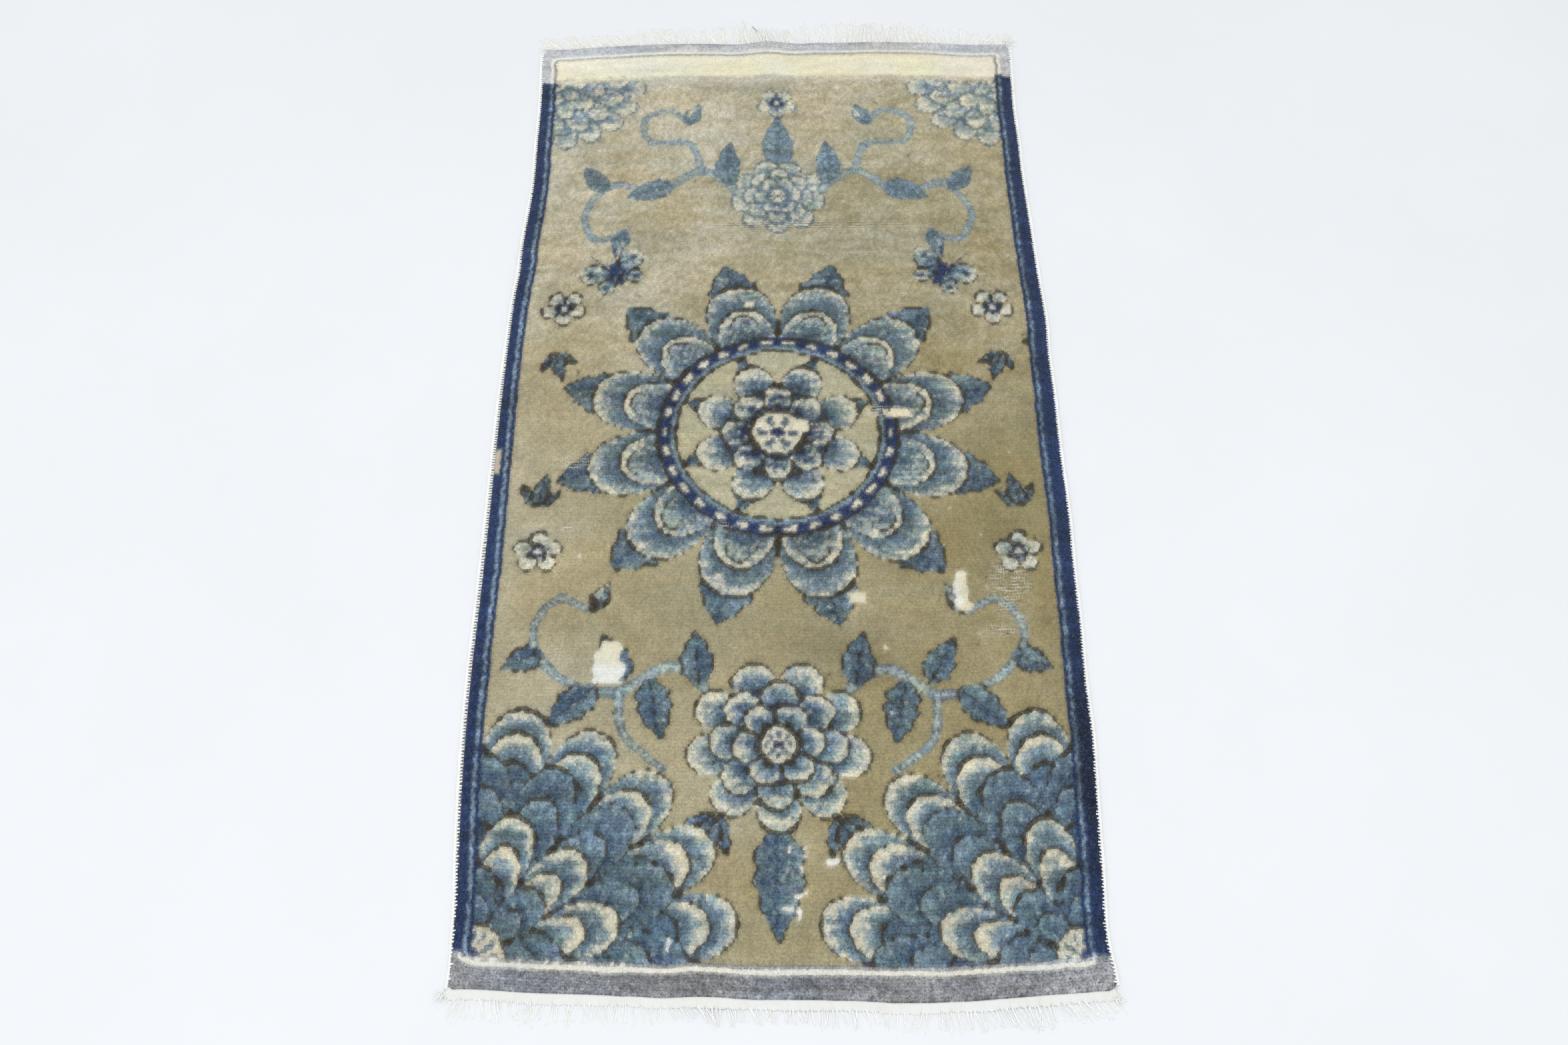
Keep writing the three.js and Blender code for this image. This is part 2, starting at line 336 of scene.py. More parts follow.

# A painted haze lightens the ground towards the left and the far end: the share gained on the
# left and lost on the right, and the places along the rug past which more is gained, over what
# length and how much. The ground is cloudy too, and streaky where it is grainy. Red, green and
# blue gain in these shares.
HAZE_ACROSS = 0.085
HAZES_ALONG = ((40, 180, 0.075), (250, 250, 0.055))
CLOUD_NOISES = ((0.05, (22, 28), 48), (0.025, (5, 6), 57))
STREAK_NOISES = ((0.07, (1.3, 5), 60), (0.045, (4, 20), 61))
HAZE_AND_CLOUD_TINT = (1.0, 1.14, 1.85)

# Hues drift as well: warm places gain red and lose blue, yellow wool whitens towards the right,
# and blue wools differ in green and blue and are bluer towards the near and the far end
WARM_NOISES = ((0.6, (16, 22), 46), (0.4, (2, 40), 47))
WARM_RED, WARM_BLUE = 0.03, -0.04
YELLOW_NOISE = (0.045, (6, 16), 49)
WHITER_FROM, WHITER_GAIN = (200, 60), 0.06
GREEN_NOISE = (0.03, (1, 9), 58)
BLUE_NOISE = (0.06, (2, 9), 59)
BLUER_NEAR, BLUER_NEAR_GAIN = (-200, -80), 0.055
BLUER_FAR, BLUER_FAR_GAIN = (160, 80), 0.03
BLUER_TINT = (0.5, 0.8, 1.1)

# Undyed cotton in linear light, fresh and yellowed
COTTONS = ((0.83, 0.84, 0.83), (0.80, 0.795, 0.75))

# How strongly the dark outlines keep their colour against the wool on either side
OUTLINE_WEIGHT = 2.0

# How far knots' corners give way where an outline is eased, and at the outlines' own corners
EASE_GIVE = 0.5
EASE_CORNER_GIVE = 0.27

# Wools of the ground, whose edges against the drawing run smooth
EASED_GROUNDS = ("camel", "pale_camel", "straw", "fawn")

# The near gray band has faded unevenly, and a painted shade of a ripple darkens it near x -80:
# distance across the rug, and share of full brightness
NEAR_GRAY_FADE_AND_SHADE = (
    (-305, 1.2), (-290, 1.1), (-250, 1.05), (-150, 1.02), (-100, 0.97), (-80, 0.9), (-50, 0.97), (0, 1.01),
    (45, 0.96), (70, 1), (150, 1.05), (170, 1), (200, 1.1), (250, 1.25), (305, 1.28),
)

# Soft stains, faded places, other places lighter or darker, and a painted haze at the far left:
# middle x, y, half width, half length, and share of brightness gained
SHADES = (
    (60, -262, 80, 34, -0.1),
    (120, -290, 60, 20, -0.04),
    (-240, -165, 34, 26, 0.09),
    (303, -420, 10, 120, -0.34),
    (-308, 0, 12, 200, 0.05),
    (293, -300, 3, 300, -0.06),
    (309, 90, 3, 90, 0.2),
    # Painted haze: the far left's gray and yellow lifted like the ground's haze
    (-250, 592, 90, 40, 0.045),
    (-262, 566, 22, 7, -0.04),
    (-172, 571, 24, 7, -0.05),
    (-55, 540, 55, 9, -0.09),
)

# Ramps of wools that petals, leaves and wings are shaded in
DEEP_RAMP = ("ivory", "ivory", "pale_blue", "light_blue", "slate", "mid_blue", "deep_blue")
WHEEL_RAMP = ("ivory", "pale_blue", "light_blue", "slate", "slate", "mid_blue")
GRAY_RAMP = ("ivory", "ivory", "pale_blue", "light_blue", "slate", "slate", "mid_blue")
BLUE_RAMP = ("light_blue", "slate", "mid_blue", "slate", "mid_blue", "deep_blue")
PALE_RAMP = ("ivory", "ivory", "pale_blue", "pale_blue", "light_blue")
PALE_INNER_RAMP = ("ivory", "pale_blue", "light_blue")
HEART_RAMP = ("ivory", "pale_blue", "slate", "navy")
COLLAR_RAMP = ("pale_blue", "slate", "mid_blue", "deep_blue")
BLOSSOM_RAMP = ("ivory", "ivory", "pale_blue")
WING_RAMP = ("navy", "mid_blue", "light_blue", "pale_blue", "ivory")
LEAF_RAMP = ("light_blue", "slate", "mid_blue")
DARK_LEAF_RAMP = ("slate", "mid_blue", "deep_blue")

# How many steps of a ramp the wools are mingled over, knot by knot and in short dashes
SCATTER = 2.4
DASH_NOISE = (1.1, (1, 7), 8)

# Past this distance up the rug the drawing is in lighter wools: each dark wool and its stand-in
FAR_PART = 250
FAR_LIGHTER = (("slate", "light_blue"), ("mid_blue", "slate"), ("deep_blue", "slate"), ("brown", "slate"))

# Sizes of the field's motifs
MEDALLION_RADIUS = 212
FAR_CORNER_RADIUS = 118
NEAR_CORNER_RADIUS = 250
BLOSSOM_RADIUS = 27

# Vines on both sides of the field: width, and points from the root to the tip
VINES = (
    (8, (40, 345), (95, 386), (150, 352), (205, 366), (236, 322), (218, 278), (184, 290)),
    (6, (95, 386), (112, 432), (160, 436), (170, 474), (136, 490), (116, 466)),
    (8, (50, -330), (104, -284), (158, -312), (214, -300), (248, -252), (226, -208), (190, -222)),
    (6, (158, -312), (150, -360), (112, -392)),
)

# Leaves on both sides of the field: u, v, up or down, turn from there, length, width and bend
LEAVES = (
    (130, 364, 1, -1.9, 62, 32, 0),
    (60, 366, 1, -0.2, 70, 32, 0.2),
    (214, 356, 1, -0.6, 50, 26, 0),
    (78, -304, 1, -0.1, 62, 34, 0),
    (128, -296, -1, -0.2, 70, 36, 0),
    (180, -306, -1, 0.8, 66, 36, 0),
    (150, -300, 1, -0.5, 58, 32, 0),
    (236, -270, 1, -2.0, 44, 28, 0),
    (0, 392, 1, 0, 84, 40, 0),
    (0, -450, -1, 0, 110, 50, 0),
)

# Other small motifs on both sides of the field: kind, u, v, up or down, turn from there and size
MOTIFS = (
    ("bud", 116, 466, 1, 0.5, 40),
    ("bud", 184, 290, -1, 0.3, 38),
    ("butterfly", 190, 224, 1, -0.5, 46),
    ("sprig", 252, 112, -1, -0.3, 44),
    ("bud", 190, -222, 1, 0.5, 38),
    ("sprig", 58, -440, -1, 0.5, 56),
    ("sprig", 256, -96, 1, 0.2, 46),
)

# Small flowers on both sides of the field: u, v and turn
BLOSSOMS = ((246, 176, 0.3), (250, -152, 0.9), (0, 500, math.pi / 2))


# Tables and noise

def read_smooth(rows, along, column=1):
    """A smooth line through one column of a table whose first column is the distance along."""
    at = np.array([row[0] for row in rows], float)
    value = np.array([row[column] for row in rows], float)
    slope = np.gradient(value, at)
    along = np.clip(along, at[0], at[-1])
    i = np.clip(np.searchsorted(at, along) - 1, 0, len(at) - 2)
    step = at[i + 1] - at[i]
    t = (along - at[i]) / step
    start = value[i] * (1 + 2 * t) * (1 - t) ** 2 + slope[i] * step * t * (1 - t) ** 2
    end = value[i + 1] * t ** 2 * (3 - 2 * t) + slope[i + 1] * step * t ** 2 * (t - 1)
    return start + end


def soft_noise(shape, blob, seed):
    """Smooth noise from -1 to 1 over a grid, with blobs of about blob = (rows, columns)."""
    rng = np.random.default_rng(seed)
    coarse = rng.uniform(-1, 1, (int(shape[0] / blob[0]) + 3, int(shape[1] / blob[1]) + 3))
    row = np.arange(shape[0])[:, None] / blob[0]
    column = np.arange(shape[1])[None, :] / blob[1]
    r, c = row.astype(int), column.astype(int)
    fr, fc = row - r, column - c
    fr, fc = fr * fr * (3 - 2 * fr), fc * fc * (3 - 2 * fc)
    low = coarse[r, c] * (1 - fc) + coarse[r, c + 1] * fc
    high = coarse[r + 1, c] * (1 - fc) + coarse[r + 1, c + 1] * fc
    return low * (1 - fr) + high * fr


def noise_line(length, blob, seed):
    return soft_noise((length, 1), (blob, 1), seed)[:, 0]


def layered_noise(shape, layers):
    return sum(strength * soft_noise(shape, blob, seed) for strength, blob, seed in layers)


def rising(along, start, length):
    """0 up to a start, 1 from a length past it on."""
    return np.clip((along - start) / length, 0, 1)


def to_linear(srgb):
    srgb = np.clip(srgb, 0, 1)
    return np.where(srgb <= 0.04045, srgb / 12.92, ((srgb + 0.055) / 1.055) ** 2.4)


def linear_colour(name, gain=1.0):
    linear = to_linear(np.array(WOOLS[name][:3]) / 255) * DAYLIGHT * gain
    return (*linear.tolist(), 1.0)


def between(first, last, share):
    """Blends from the first value to the last."""
    return first * (1 - share) + last * share


def away_from(x, y, oval):
    """Distance from the middle of an oval, squared: 1 on the oval itself."""
    return ((x - oval[0]) / oval[2]) ** 2 + ((y - oval[1]) / oval[3]) ** 2


# The lie of the rug

def round_corners(u, v):
    """Draws the woven corners in to a round."""
    for side, end, radius in CORNERS:
        p = (side * u - HALF_WIDTH + radius) / radius
        q = (end * v - HALF_LENGTH + radius) / radius
        inside = (p > 0) & (q > 0)
        new_p = p * np.sqrt(np.maximum(1 - q * q / 2, 0))
        new_q = q * np.sqrt(np.maximum(1 - p * p / 2, 0))
        u = np.where(inside, side * (HALF_WIDTH - radius + radius * new_p), u)
        v = np.where(inside, end * (HALF_LENGTH - radius + radius * new_q), v)
    return u, v


def side_line(side, y):
    """How far across the rug one side's edge lies, at distances y along it."""
    return side * (HALF_WIDTH + read_smooth(SIDE_EDGES[side], y))


def end_line(end, x):
    """How far along the rug one end's edge lies, at distances x across it."""
    return end * (HALF_LENGTH + read_smooth(END_EDGES[end], x))


def side_point(side, share):
    rows = SIDE_EDGES[side]
    y = rows[0][0] + (rows[-1][0] - rows[0][0]) * share
    return side_line(side, y), y


def end_point(end, share):
    rows = END_EDGES[end]
    x = rows[0][0] + (rows[-1][0] - rows[0][0]) * share
    return x, end_line(end, x)


def plan_of(u, v):
    """Where a woven place lies on the floor, blended from the four edges."""
    u, v = round_corners(np.asarray(u, float), np.asarray(v, float))
    a = u / RUG_WIDTH + 0.5
    b = v / RUG_LENGTH + 0.5
    left, right = side_point(-1, b), side_point(1, b)
    near, far = end_point(-1, a), end_point(1, a)
    near_left, near_right = side_point(-1, 0.0), side_point(1, 0.0)
    far_left, far_right = side_point(-1, 1.0), side_point(1, 1.0)
    plan = []
    for axis in (0, 1):
        low = between(near_left[axis], near_right[axis], a)
        high = between(far_left[axis], far_right[axis], a)
        sides = between(left[axis], right[axis], a)
        ends = between(near[axis], far[axis], b)
        plan.append(sides + ends - low * (1 - b) - high * b)
    x, y = plan

    # The lines near the edges wander by themselves
    line = -HALF_LENGTH + NEAR_LINE + 2
    below = np.clip((v + HALF_LENGTH) / (line + HALF_LENGTH), 0, 1)
    above = np.clip(1 - (v - line) / BOW_REACH, 0, 1)
    y = y + read_smooth(NEAR_BOW, u) * np.minimum(below, above)
    for side, wander in WANDERS.items():
        inward = HALF_WIDTH - side * u
        outer = np.clip(inward / SIDE_LINE, 0, 1)
        inner = np.clip(1 - (inward - WANDER_MIDDLE) / WANDER_REACH, 0, 1)
        x = x + side * read_smooth(wander, v) * np.minimum(outer, inner)
    return x, y


# The knots and their wools

def knot_edges(first_bands, field_knots, last_bands, size):
    """Distances of the knots' edges from the middle, band by band."""
    field = size - sum(width for width, knots in (*first_bands, *last_bands))
    steps = []
    for width, knots in (*first_bands, (field, field_knots), *reversed(last_bands)):
        steps += [width / knots] * knots
    return np.concatenate([[0.0], np.cumsum(steps)]) - size / 2


class Chart:
    """The knots' woven places and the wool each is tied in."""

    def __init__(self):
        self.u_edges = knot_edges(SIDE_BANDS, FIELD_COLUMNS, SIDE_BANDS, RUG_WIDTH)
        self.v_edges = knot_edges(NEAR_BANDS, FIELD_ROWS, FAR_BANDS, RUG_LENGTH)
        u = (self.u_edges[1:] + self.u_edges[:-1]) / 2
        v = (self.v_edges[1:] + self.v_edges[:-1]) / 2
        self.u, self.v = np.meshgrid(u, v)
        self.x, self.y = plan_of(self.u, self.v)
        self.dither = np.random.default_rng(7).random(self.u.shape)
        self.dashes = self.noise(DASH_NOISE)
        self.wool = np.full(self.u.shape, NAMES.index("camel"))

    def noise(self, *layers):
        return layered_noise(self.u.shape, layers)

    def tied_in(self, *names):
        """Which knots are tied in one of these wools."""
        return np.isin(self.wool, [NAMES.index(name) for name in names])

    def fill(self, inside, name):
        self.wool[inside] = NAMES.index(name)

    def shade(self, inside, depth, ramp):
        """Steps through a ramp of wools, the steps mingled knot by knot and in short dashes."""
        step = depth * len(ramp) + (self.dither - 0.5) * SCATTER + self.dashes
        step = np.clip(step.astype(int), 0, len(ramp) - 1)
        codes = np.array([NAMES.index(name) for name in ramp])
        self.wool[inside] = codes[step[inside]]

    def polar(self, centre, turn=0.0):
        """Distances from a centre and angles round it."""
        du, dv = self.u - centre[0], self.v - centre[1]
        return np.hypot(du, dv), (np.arctan2(dv, du) - turn) % TAU

    def local_axes(self, base, heading):
        """Distances along a heading and to its left."""
        du, dv = self.u - base[0], self.v - base[1]
        c, s = math.cos(heading), math.sin(heading)
        return du * c + dv * s, -du * s + dv * c

    def distance_to(self, line):
        """Each knot's distance from a line, and how far along the line its nearest point is."""
        best = np.full(self.u.shape, 1e9)
        where = np.zeros(self.u.shape)
        for i, (a, b) in enumerate(zip(line[:-1], line[1:])):
            d = b - a
            t = np.clip(((self.u - a[0]) * d[0] + (self.v - a[1]) * d[1]) / (d @ d + 1e-9), 0, 1)
            gap = np.hypot(self.u - a[0] - t * d[0], self.v - a[1] - t * d[1])
            near = gap < best
            best[near] = gap[near]
            where[near] = ((i + t) / (len(line) - 1))[near]
        return best, where


def one_knot(facing):
    """How thick a line that faces this way must be to stay one knot wide and unbroken."""
    return 1.15 * np.maximum(np.abs(np.cos(facing)) * KNOT_WIDTH, np.abs(np.sin(facing)) * KNOT_LENGTH)


# The motifs of the field

def at_angle(centre, distance, heading):
    return centre[0] + distance * math.cos(heading), centre[1] + distance * math.sin(heading)


def petal_ring(chart, centre, radius, petals, inner, outer, ramp, turn=0.0, bands=1, share=1.0):
    """A ring of round-tipped petals with brown outlines, from inner to outer shares of the radius,
    each shaded in bands from pale to dark; share narrows each petal inside its sector."""
    reach, angle = chart.polar(centre, turn)
    inner, outer = inner * radius, outer * radius
    sector = (angle * petals / TAU) % 1.0
    across = np.abs(sector * 2 - 1) / share
    tip = inner + (outer - inner) * np.sqrt(np.clip(1 - across ** 2.2, 0, 1))
    inside = (reach < tip) & (across < 1)
    depth = (tip - reach) / (outer - inner)
    band_depth = (np.clip(depth, 0, 0.999) * bands) % 1.0
    chart.shade(inside, np.clip(band_depth + 0.15 * across ** 3, 0, 0.999), ramp)
    side_gap = (1 - across) * share * reach * np.pi / petals
    line = one_knot(angle + turn)
    band_line = (band_depth > 1 - line / ((outer - inner) / bands)) & (depth < 1)
    flank = side_gap < one_knot(angle + turn + np.pi / 2) * 0.6
    chart.fill(inside & ((tip - reach < line) | flank | band_line), "brown")


def core(chart, centre, radius, seeds=8):
    """A flower's middle: an ivory disc with a ring of seeds."""
    reach, angle = chart.polar(centre)
    chart.fill(reach < radius, "brown")
    chart.fill(reach < radius - 3, "ivory")
    dots = (np.cos(angle * seeds) > 0.2) & (np.abs(reach - radius * 0.55) < radius * 0.2)
    chart.fill(dots & (reach < radius), "mid_blue")
    chart.fill(reach < radius * 0.25, "navy")


def leaf(chart, base, heading, length, width, bend=0.0, ramp=LEAF_RAMP, dark=DARK_LEAF_RAMP, lobes=4):
    """A pointed leaf: one half light, the other dark, with a midrib and side veins."""
    along, side = chart.local_axes(base, heading)
    along = along / length
    side = side - bend * length * along ** 2
    a = np.clip(along, 0, 1)
    half = width / 2 * np.sin(np.pi * a ** 0.72) ** 0.8 * (1 + 0.1 * np.cos(TAU * lobes * a))
    inside = (along > 0) & (along < 1) & (np.abs(side) < half)
    vein = ((a * lobes * 1.6 - np.abs(side) / width * 1.8) % 1.0) < 0.22
    depth = np.clip(np.abs(side) / np.maximum(half, 1), 0, 0.999)
    chart.shade(inside & (side >= 0), 1 - depth, ramp)
    chart.shade(inside & (side < 0), 1 - depth, dark)
    chart.fill(inside & vein & (depth > 0.15), "slate")
    chart.fill(inside & (half - np.abs(side) < 2.4), "brown")
    chart.fill(inside & (np.abs(side) < 1.5 * (1 - a)), "brown")


def smooth_line(points, steps=14):
    """A smooth line through given points."""
    p = np.array(points, float)
    p = np.concatenate([[2 * p[0] - p[1]], p, [2 * p[-1] - p[-2]]])
    t = np.linspace(0, 1, steps, endpoint=False)[:, None]
    line = []
    for a, b, c, d in zip(p[:-3], p[1:-2], p[2:-1], p[3:]):
        bend = (2 * a - 5 * b + 4 * c - d) * t ** 2 + (3 * b - a - 3 * c + d) * t ** 3
        line.append(0.5 * (2 * b + (c - a) * t + bend))
    line.append(p[-2:-1])
    return np.concatenate(line)


def vine(chart, points, width):
    """A pale stem edged in slate that tapers to half its width."""
    gap, where = chart.distance_to(smooth_line(points))
    half = width / 2 * (1 - 0.5 * where)
    chart.fill(gap < half + 2.0, "slate")
    chart.fill(gap < half - 0.6, "pale_blue")


def peony(chart, centre, radius, ramp=DEEP_RAMP):
    """A full flower of three rings of petals: petals, inner and outer share of the radius, turn."""
    rings = ((9, 0.62, 1.0, 0.0), (8, 0.44, 0.76, 0.35), (6, 0.24, 0.52, 0.1))
    for petals, inner, outer, turn in rings:
        petal_ring(chart, centre, radius, petals, inner, outer, ramp, np.pi / 2 + turn)
    core(chart, centre, 0.22 * radius)


def blossom(chart, centre, turn):
    petal_ring(chart, centre, BLOSSOM_RADIUS, 5, 0.35, 1.0, BLOSSOM_RAMP, turn)
    reach, _ = chart.polar(centre)
    chart.fill(reach < BLOSSOM_RADIUS * 0.3, "navy")
    chart.fill(reach < BLOSSOM_RADIUS * 0.14, "ivory")


def bud(chart, base, heading, length):
    wools = {"ramp": ("ivory", "pale_blue"), "dark": ("light_blue", "slate")}
    leaf(chart, base, heading, length, length * 0.55, lobes=1, **wools)
    for turn in (-0.5, 0.5):
        leaf(chart, base, heading + turn, length * 0.6, length * 0.25, lobes=1)


def sprig(chart, base, heading, length):
    """Three leaves from one point."""
    for turn, share in ((0.7, 0.75), (-0.7, 0.75), (0.0, 1.0)):
        leaf(chart, base, heading + turn, length * share, length * share * 0.42, lobes=3)


def butterfly(chart, centre, heading, size):
    """Two pairs of wings on a short body with feelers, seen from above."""
    wings = ((1.0, 1.05, 1.0), (0.7, 2.15, 0.72))
    for side in (-1, 1):
        for fullness, opening, length in wings:
            along, across = chart.local_axes(centre, heading + side * opening)
            reach = size * length
            a = along / reach
            half = size * 0.34 * fullness * np.sin(np.pi * np.clip(a, 0, 1) ** 1.5) ** 0.7
            inside = (a > 0) & (a < 1) & (np.abs(across) < half)
            chart.shade(inside, np.clip(a, 0, 0.999), WING_RAMP)
            chart.fill(inside & (half - np.abs(across) < 2.2), "brown")
            chart.fill(np.hypot(along - reach * 0.68, across) < size * 0.1, "deep_blue")
    along, across = chart.local_axes(centre, heading)
    chart.fill((np.abs(along) < size * 0.42) & (np.abs(across) < 3.0), "navy")
    for side in (-1, 1):
        tip = at_angle(centre, size * 0.95, heading + side * 0.35)
        gap, _ = chart.distance_to(np.array([centre, tip], float))
        chart.fill(gap < 1.3, "navy")


def leaf_wheel(chart, centre, radius, count, inner, length, width, lobes=4):
    """Leaves pointing outwards all round a centre, measured in shares of the radius."""
    for step in range(count):
        heading = (step + 0.5) * TAU / count
        base = at_angle(centre, inner * radius, heading)
        leaf(chart, base, heading, length * radius, width * radius, lobes=lobes)


def medallion(chart, radius):
    """A lotus wheel round a beaded ring, with a smaller lotus inside."""
    middle = (0, 0)
    reach, angle = chart.polar(middle)
    leaf_wheel(chart, middle, radius, 12, 0.80, 0.36, 0.27)
    petal_ring(chart, middle, radius, 12, 0.64, 1.0, WHEEL_RAMP, bands=2)
    petal_ring(chart, middle, radius, 12, 0.56, 0.80, COLLAR_RAMP, share=0.55)
    chart.fill(reach < 0.625 * radius, "brown")
    chart.fill(reach < 0.61 * radius, "navy")
    chart.fill((np.cos(angle * 30) > 0.1) & (np.abs(reach - 0.58 * radius) < 2.6), "ivory")
    chart.fill(reach < 0.55 * radius, "light_blue")
    chart.fill(reach < 0.53 * radius, "brown")
    chart.fill(reach < 0.515 * radius, "pale_camel")
    leaf_wheel(chart, middle, radius, 8, 0.27, 0.25, 0.15, lobes=2)
    petal_ring(chart, middle, radius, 8, 0.26, 0.45, DEEP_RAMP, share=0.9)
    petal_ring(chart, middle, radius, 8, 0.16, 0.30, HEART_RAMP, turn=TAU / 16)
    core(chart, middle, 0.14 * radius, seeds=6)


def spandrel(chart, corner, radius, ramp, inner_ramp, bands):
    """A quarter lotus in a corner of the field: petals, inner and outer share, ramp, turn."""
    rings = (
        (20, 0.76, 1.0, ramp, 0),
        (16, 0.5, 0.8, inner_ramp, TAU / 32),
        (12, 0.28, 0.56, ramp, 0),
        (8, 0.1, 0.34, inner_ramp, TAU / 16),
    )
    for ring in rings:
        petal_ring(chart, corner, radius, *ring, bands)
    core(chart, corner, 0.12 * radius, seeds=12)


def draw_sprays(chart, side):
    """The vines, leaves and small motifs on one side of the field."""
    draw_kinds = {"bud": bud, "butterfly": butterfly, "sprig": sprig}
    for width, *points in VINES:
        vine(chart, [(side * u, v) for u, v in points], width)
    for u, v, up, turn, length, width, bend in LEAVES:
        leaf(chart, (side * u, v), up * np.pi / 2 + side * turn, length, width, side * bend)
    for kind, u, v, up, turn, size in MOTIFS:
        draw_kinds[kind](chart, (side * u, v), up * np.pi / 2 + side * turn, size)
    for u, v, turn in BLOSSOMS:
        blossom(chart, (side * u, v), turn)


def draw_field(chart):
    """A medallion, four lotus corners, two flowers on the long axis, vines and butterflies."""
    field_side = HALF_WIDTH - SIDE_END
    near = NEAR_END - HALF_LENGTH
    for side in (-1, 1):
        draw_sprays(chart, side)
        far_corner, near_corner = (side * field_side, FIELD_FAR_END), (side * field_side, near)
        spandrel(chart, far_corner, FAR_CORNER_RADIUS, PALE_RAMP, PALE_INNER_RAMP, 1)
        spandrel(chart, near_corner, NEAR_CORNER_RADIUS, GRAY_RAMP, BLUE_RAMP, 2)
    peony(chart, (0, 345), 60, PALE_RAMP)
    peony(chart, (0, -366), 92)
    chart.fill(chart.v >= FIELD_FAR_END, "camel")
    for dark, light in FAR_LIGHTER:
        chart.fill(chart.tied_in(dark) & (chart.v > FAR_PART), light)
    medallion(chart, MEDALLION_RADIUS)


# The border

def inside_of(across, along):
    """Distance in from two edges that meet in a round corner."""
    short_across = np.maximum(LINE_CORNER - across, 0)
    short_along = np.maximum(LINE_CORNER - along, 0)
    at_corner = (across < LINE_CORNER) & (along < LINE_CORNER)
    rounded = LINE_CORNER - np.hypot(short_across, short_along)
    return np.where(at_corner, rounded, np.minimum(across, along))


def draw_sides(chart):
    """Navy sides with a thin blue line."""
    from_side = HALF_WIDTH - np.abs(chart.u)
    in_line = (from_side > SIDE_LINE) & (from_side < SIDE_LINE_END)
    chart.fill(from_side < SIDE_END, "navy")
    chart.fill(in_line, "line_blue")
    inner_half = from_side > SIDE_LINE + SIDE_BANDS[1][0] / 2
    chart.fill(in_line & inner_half & (chart.u > 0) & (chart.dither < 0.6), "mid_blue")


def draw_far_end(chart):
    """Gray, a white and a thin gray line and a yellow strip, in other yarns from a ragged join on."""
    from_side = HALF_WIDTH - np.abs(chart.u)
    share = chart.u / RUG_WIDTH + 0.5
    ragged = chart.noise(JOIN_NOISE) + (chart.dither - 0.5) * JOIN_SCATTER
    past_join = chart.v - FIELD_JOIN[0] * (1 - share) - FIELD_JOIN[1] * share - ragged
    fade_depth = between(*FADE_DEPTHS, share)
    fading = chart.tied_in("camel") & (past_join > -fade_depth)
    chart.shade(fading, -past_join / fade_depth, ("straw", "fawn", "camel"))
    past_join = past_join > 0
    for hand, (outer_join, rise) in SIDE_JOIN.items():
        past_side = chart.v > outer_join + rise * np.minimum(from_side, SIDE_LINE)
        past_join = np.where((from_side < SIDE_END) & (chart.u * hand > 0), past_side, past_join)
    inset = inside_of(from_side - SIDE_LINE, HALF_LENGTH - chart.v - FAR_LINE)
    chart.fill(past_join, "far_gray")
    chart.fill(past_join & (inset > 0), "white")
    chart.fill(past_join & (inset > FAR_LINE_WIDTH), "thin_gray")
    chart.fill(past_join & (inset > FAR_LINE_WIDTH + THIN_LINE_WIDTH), "yellow")


def draw_near_end(chart):
    """Gray with a white line, which turns up at its ends and has strays above it."""
    from_near = chart.v + HALF_LENGTH
    left, right = NEAR_LINE_STARTS[0] - HALF_WIDTH, HALF_WIDTH - NEAR_LINE_STARTS[1]
    line = (chart.u > left) & (chart.u < right) & (from_near < NEAR_END)
    upturned = (chart.u < left + 5) | (chart.u > right - 3)
    strays = chart.dither < np.where(chart.u < -130, 0.16, 0.02)
    chart.fill(from_near < NEAR_END, "near_gray")
    chart.fill(line & (from_near > NEAR_LINE) & (from_near < NEAR_LINE_END), "white")
    chart.fill(line & upturned & (from_near > NEAR_LINE + 2), "white")
    chart.fill(line & strays & (from_near > NEAR_LINE_END), "white")


# Wear and repairs

# Places rewoven in another wool: middle x, y, width, height, how ragged, and the wool
REWOVEN = (
    (-172, -262, 17, 12, 4, "cream"),
    (-176, -275, 26, 16, 4, "cream"),
    (-176, -292, 30, 20, 3, "white"),
    (24, 11, 17, 16, 1, "cream"),
    (134, 26, 22, 9, 3, "cream"),
    (105, 24, 12, 6, 3, "ivory"),
    (192, -199, 13, 46, 3, "cream"),
    (186, -200, 4, 40, 3, "white"),
    (82, -206, 18, 12, 2, "cream"),
    (-34, 182, 12, 8, 1, "cream"),
    (109, -264, 8, 6, 1, "cream"),
    (-65, -180, 8, 6, 1, "ivory"),
    (-211, -155, 3, 8, 0, "white"),
    (77, 538, 9, 8, 1, "cream"),
    (285, 125, 9, 9, 2, "dark_green"),
    (283, 133, 5, 4, 0, "dark_green"),
    (8, -478, 5, 5, 1, "white"),
    (25, -476, 6, 5, 1, "white"),
    (25, -484, 5, 4, 1, "white"),
    (49, -490, 15, 9, 3, "white"),
    (19, -496, 5, 5, 1, "white"),
    (18, -524, 6, 5, 1, "white"),
    (24, -521, 5, 6, 1, "white"),
    (8, -536, 9, 5, 2, "white"),
    (17, -540, 6, 14, 2, "white"),
    (-105, -566, 3, 12, 1, "white"),
    (-311, -34, 7, 27, 1, "beige"),
    (-311, -18, 9, 4, 1, "slate"),
)

# Places worn down towards the foundation: middle x, y, half width, half height and depth,
# which is below zero where the rows of pile have only parted and a painted shadow lies between them
WORN = (
    (242, -199, 24, 42, 0.65),
    (225, -246, 30, 8, 0.55),
    (-228, -36, 26, 9, 0.7),
    (-236, -118, 36, 6, 0.6),
    (-60, -118, 16, 4, 0.5),
    (120, 30, 28, 8, 0.6),
    (-190, -290, 14, 16, 0.4),
    (45, 305, 120, 6, -0.9),
    (262, 120, 22, 12, 0.4),
)

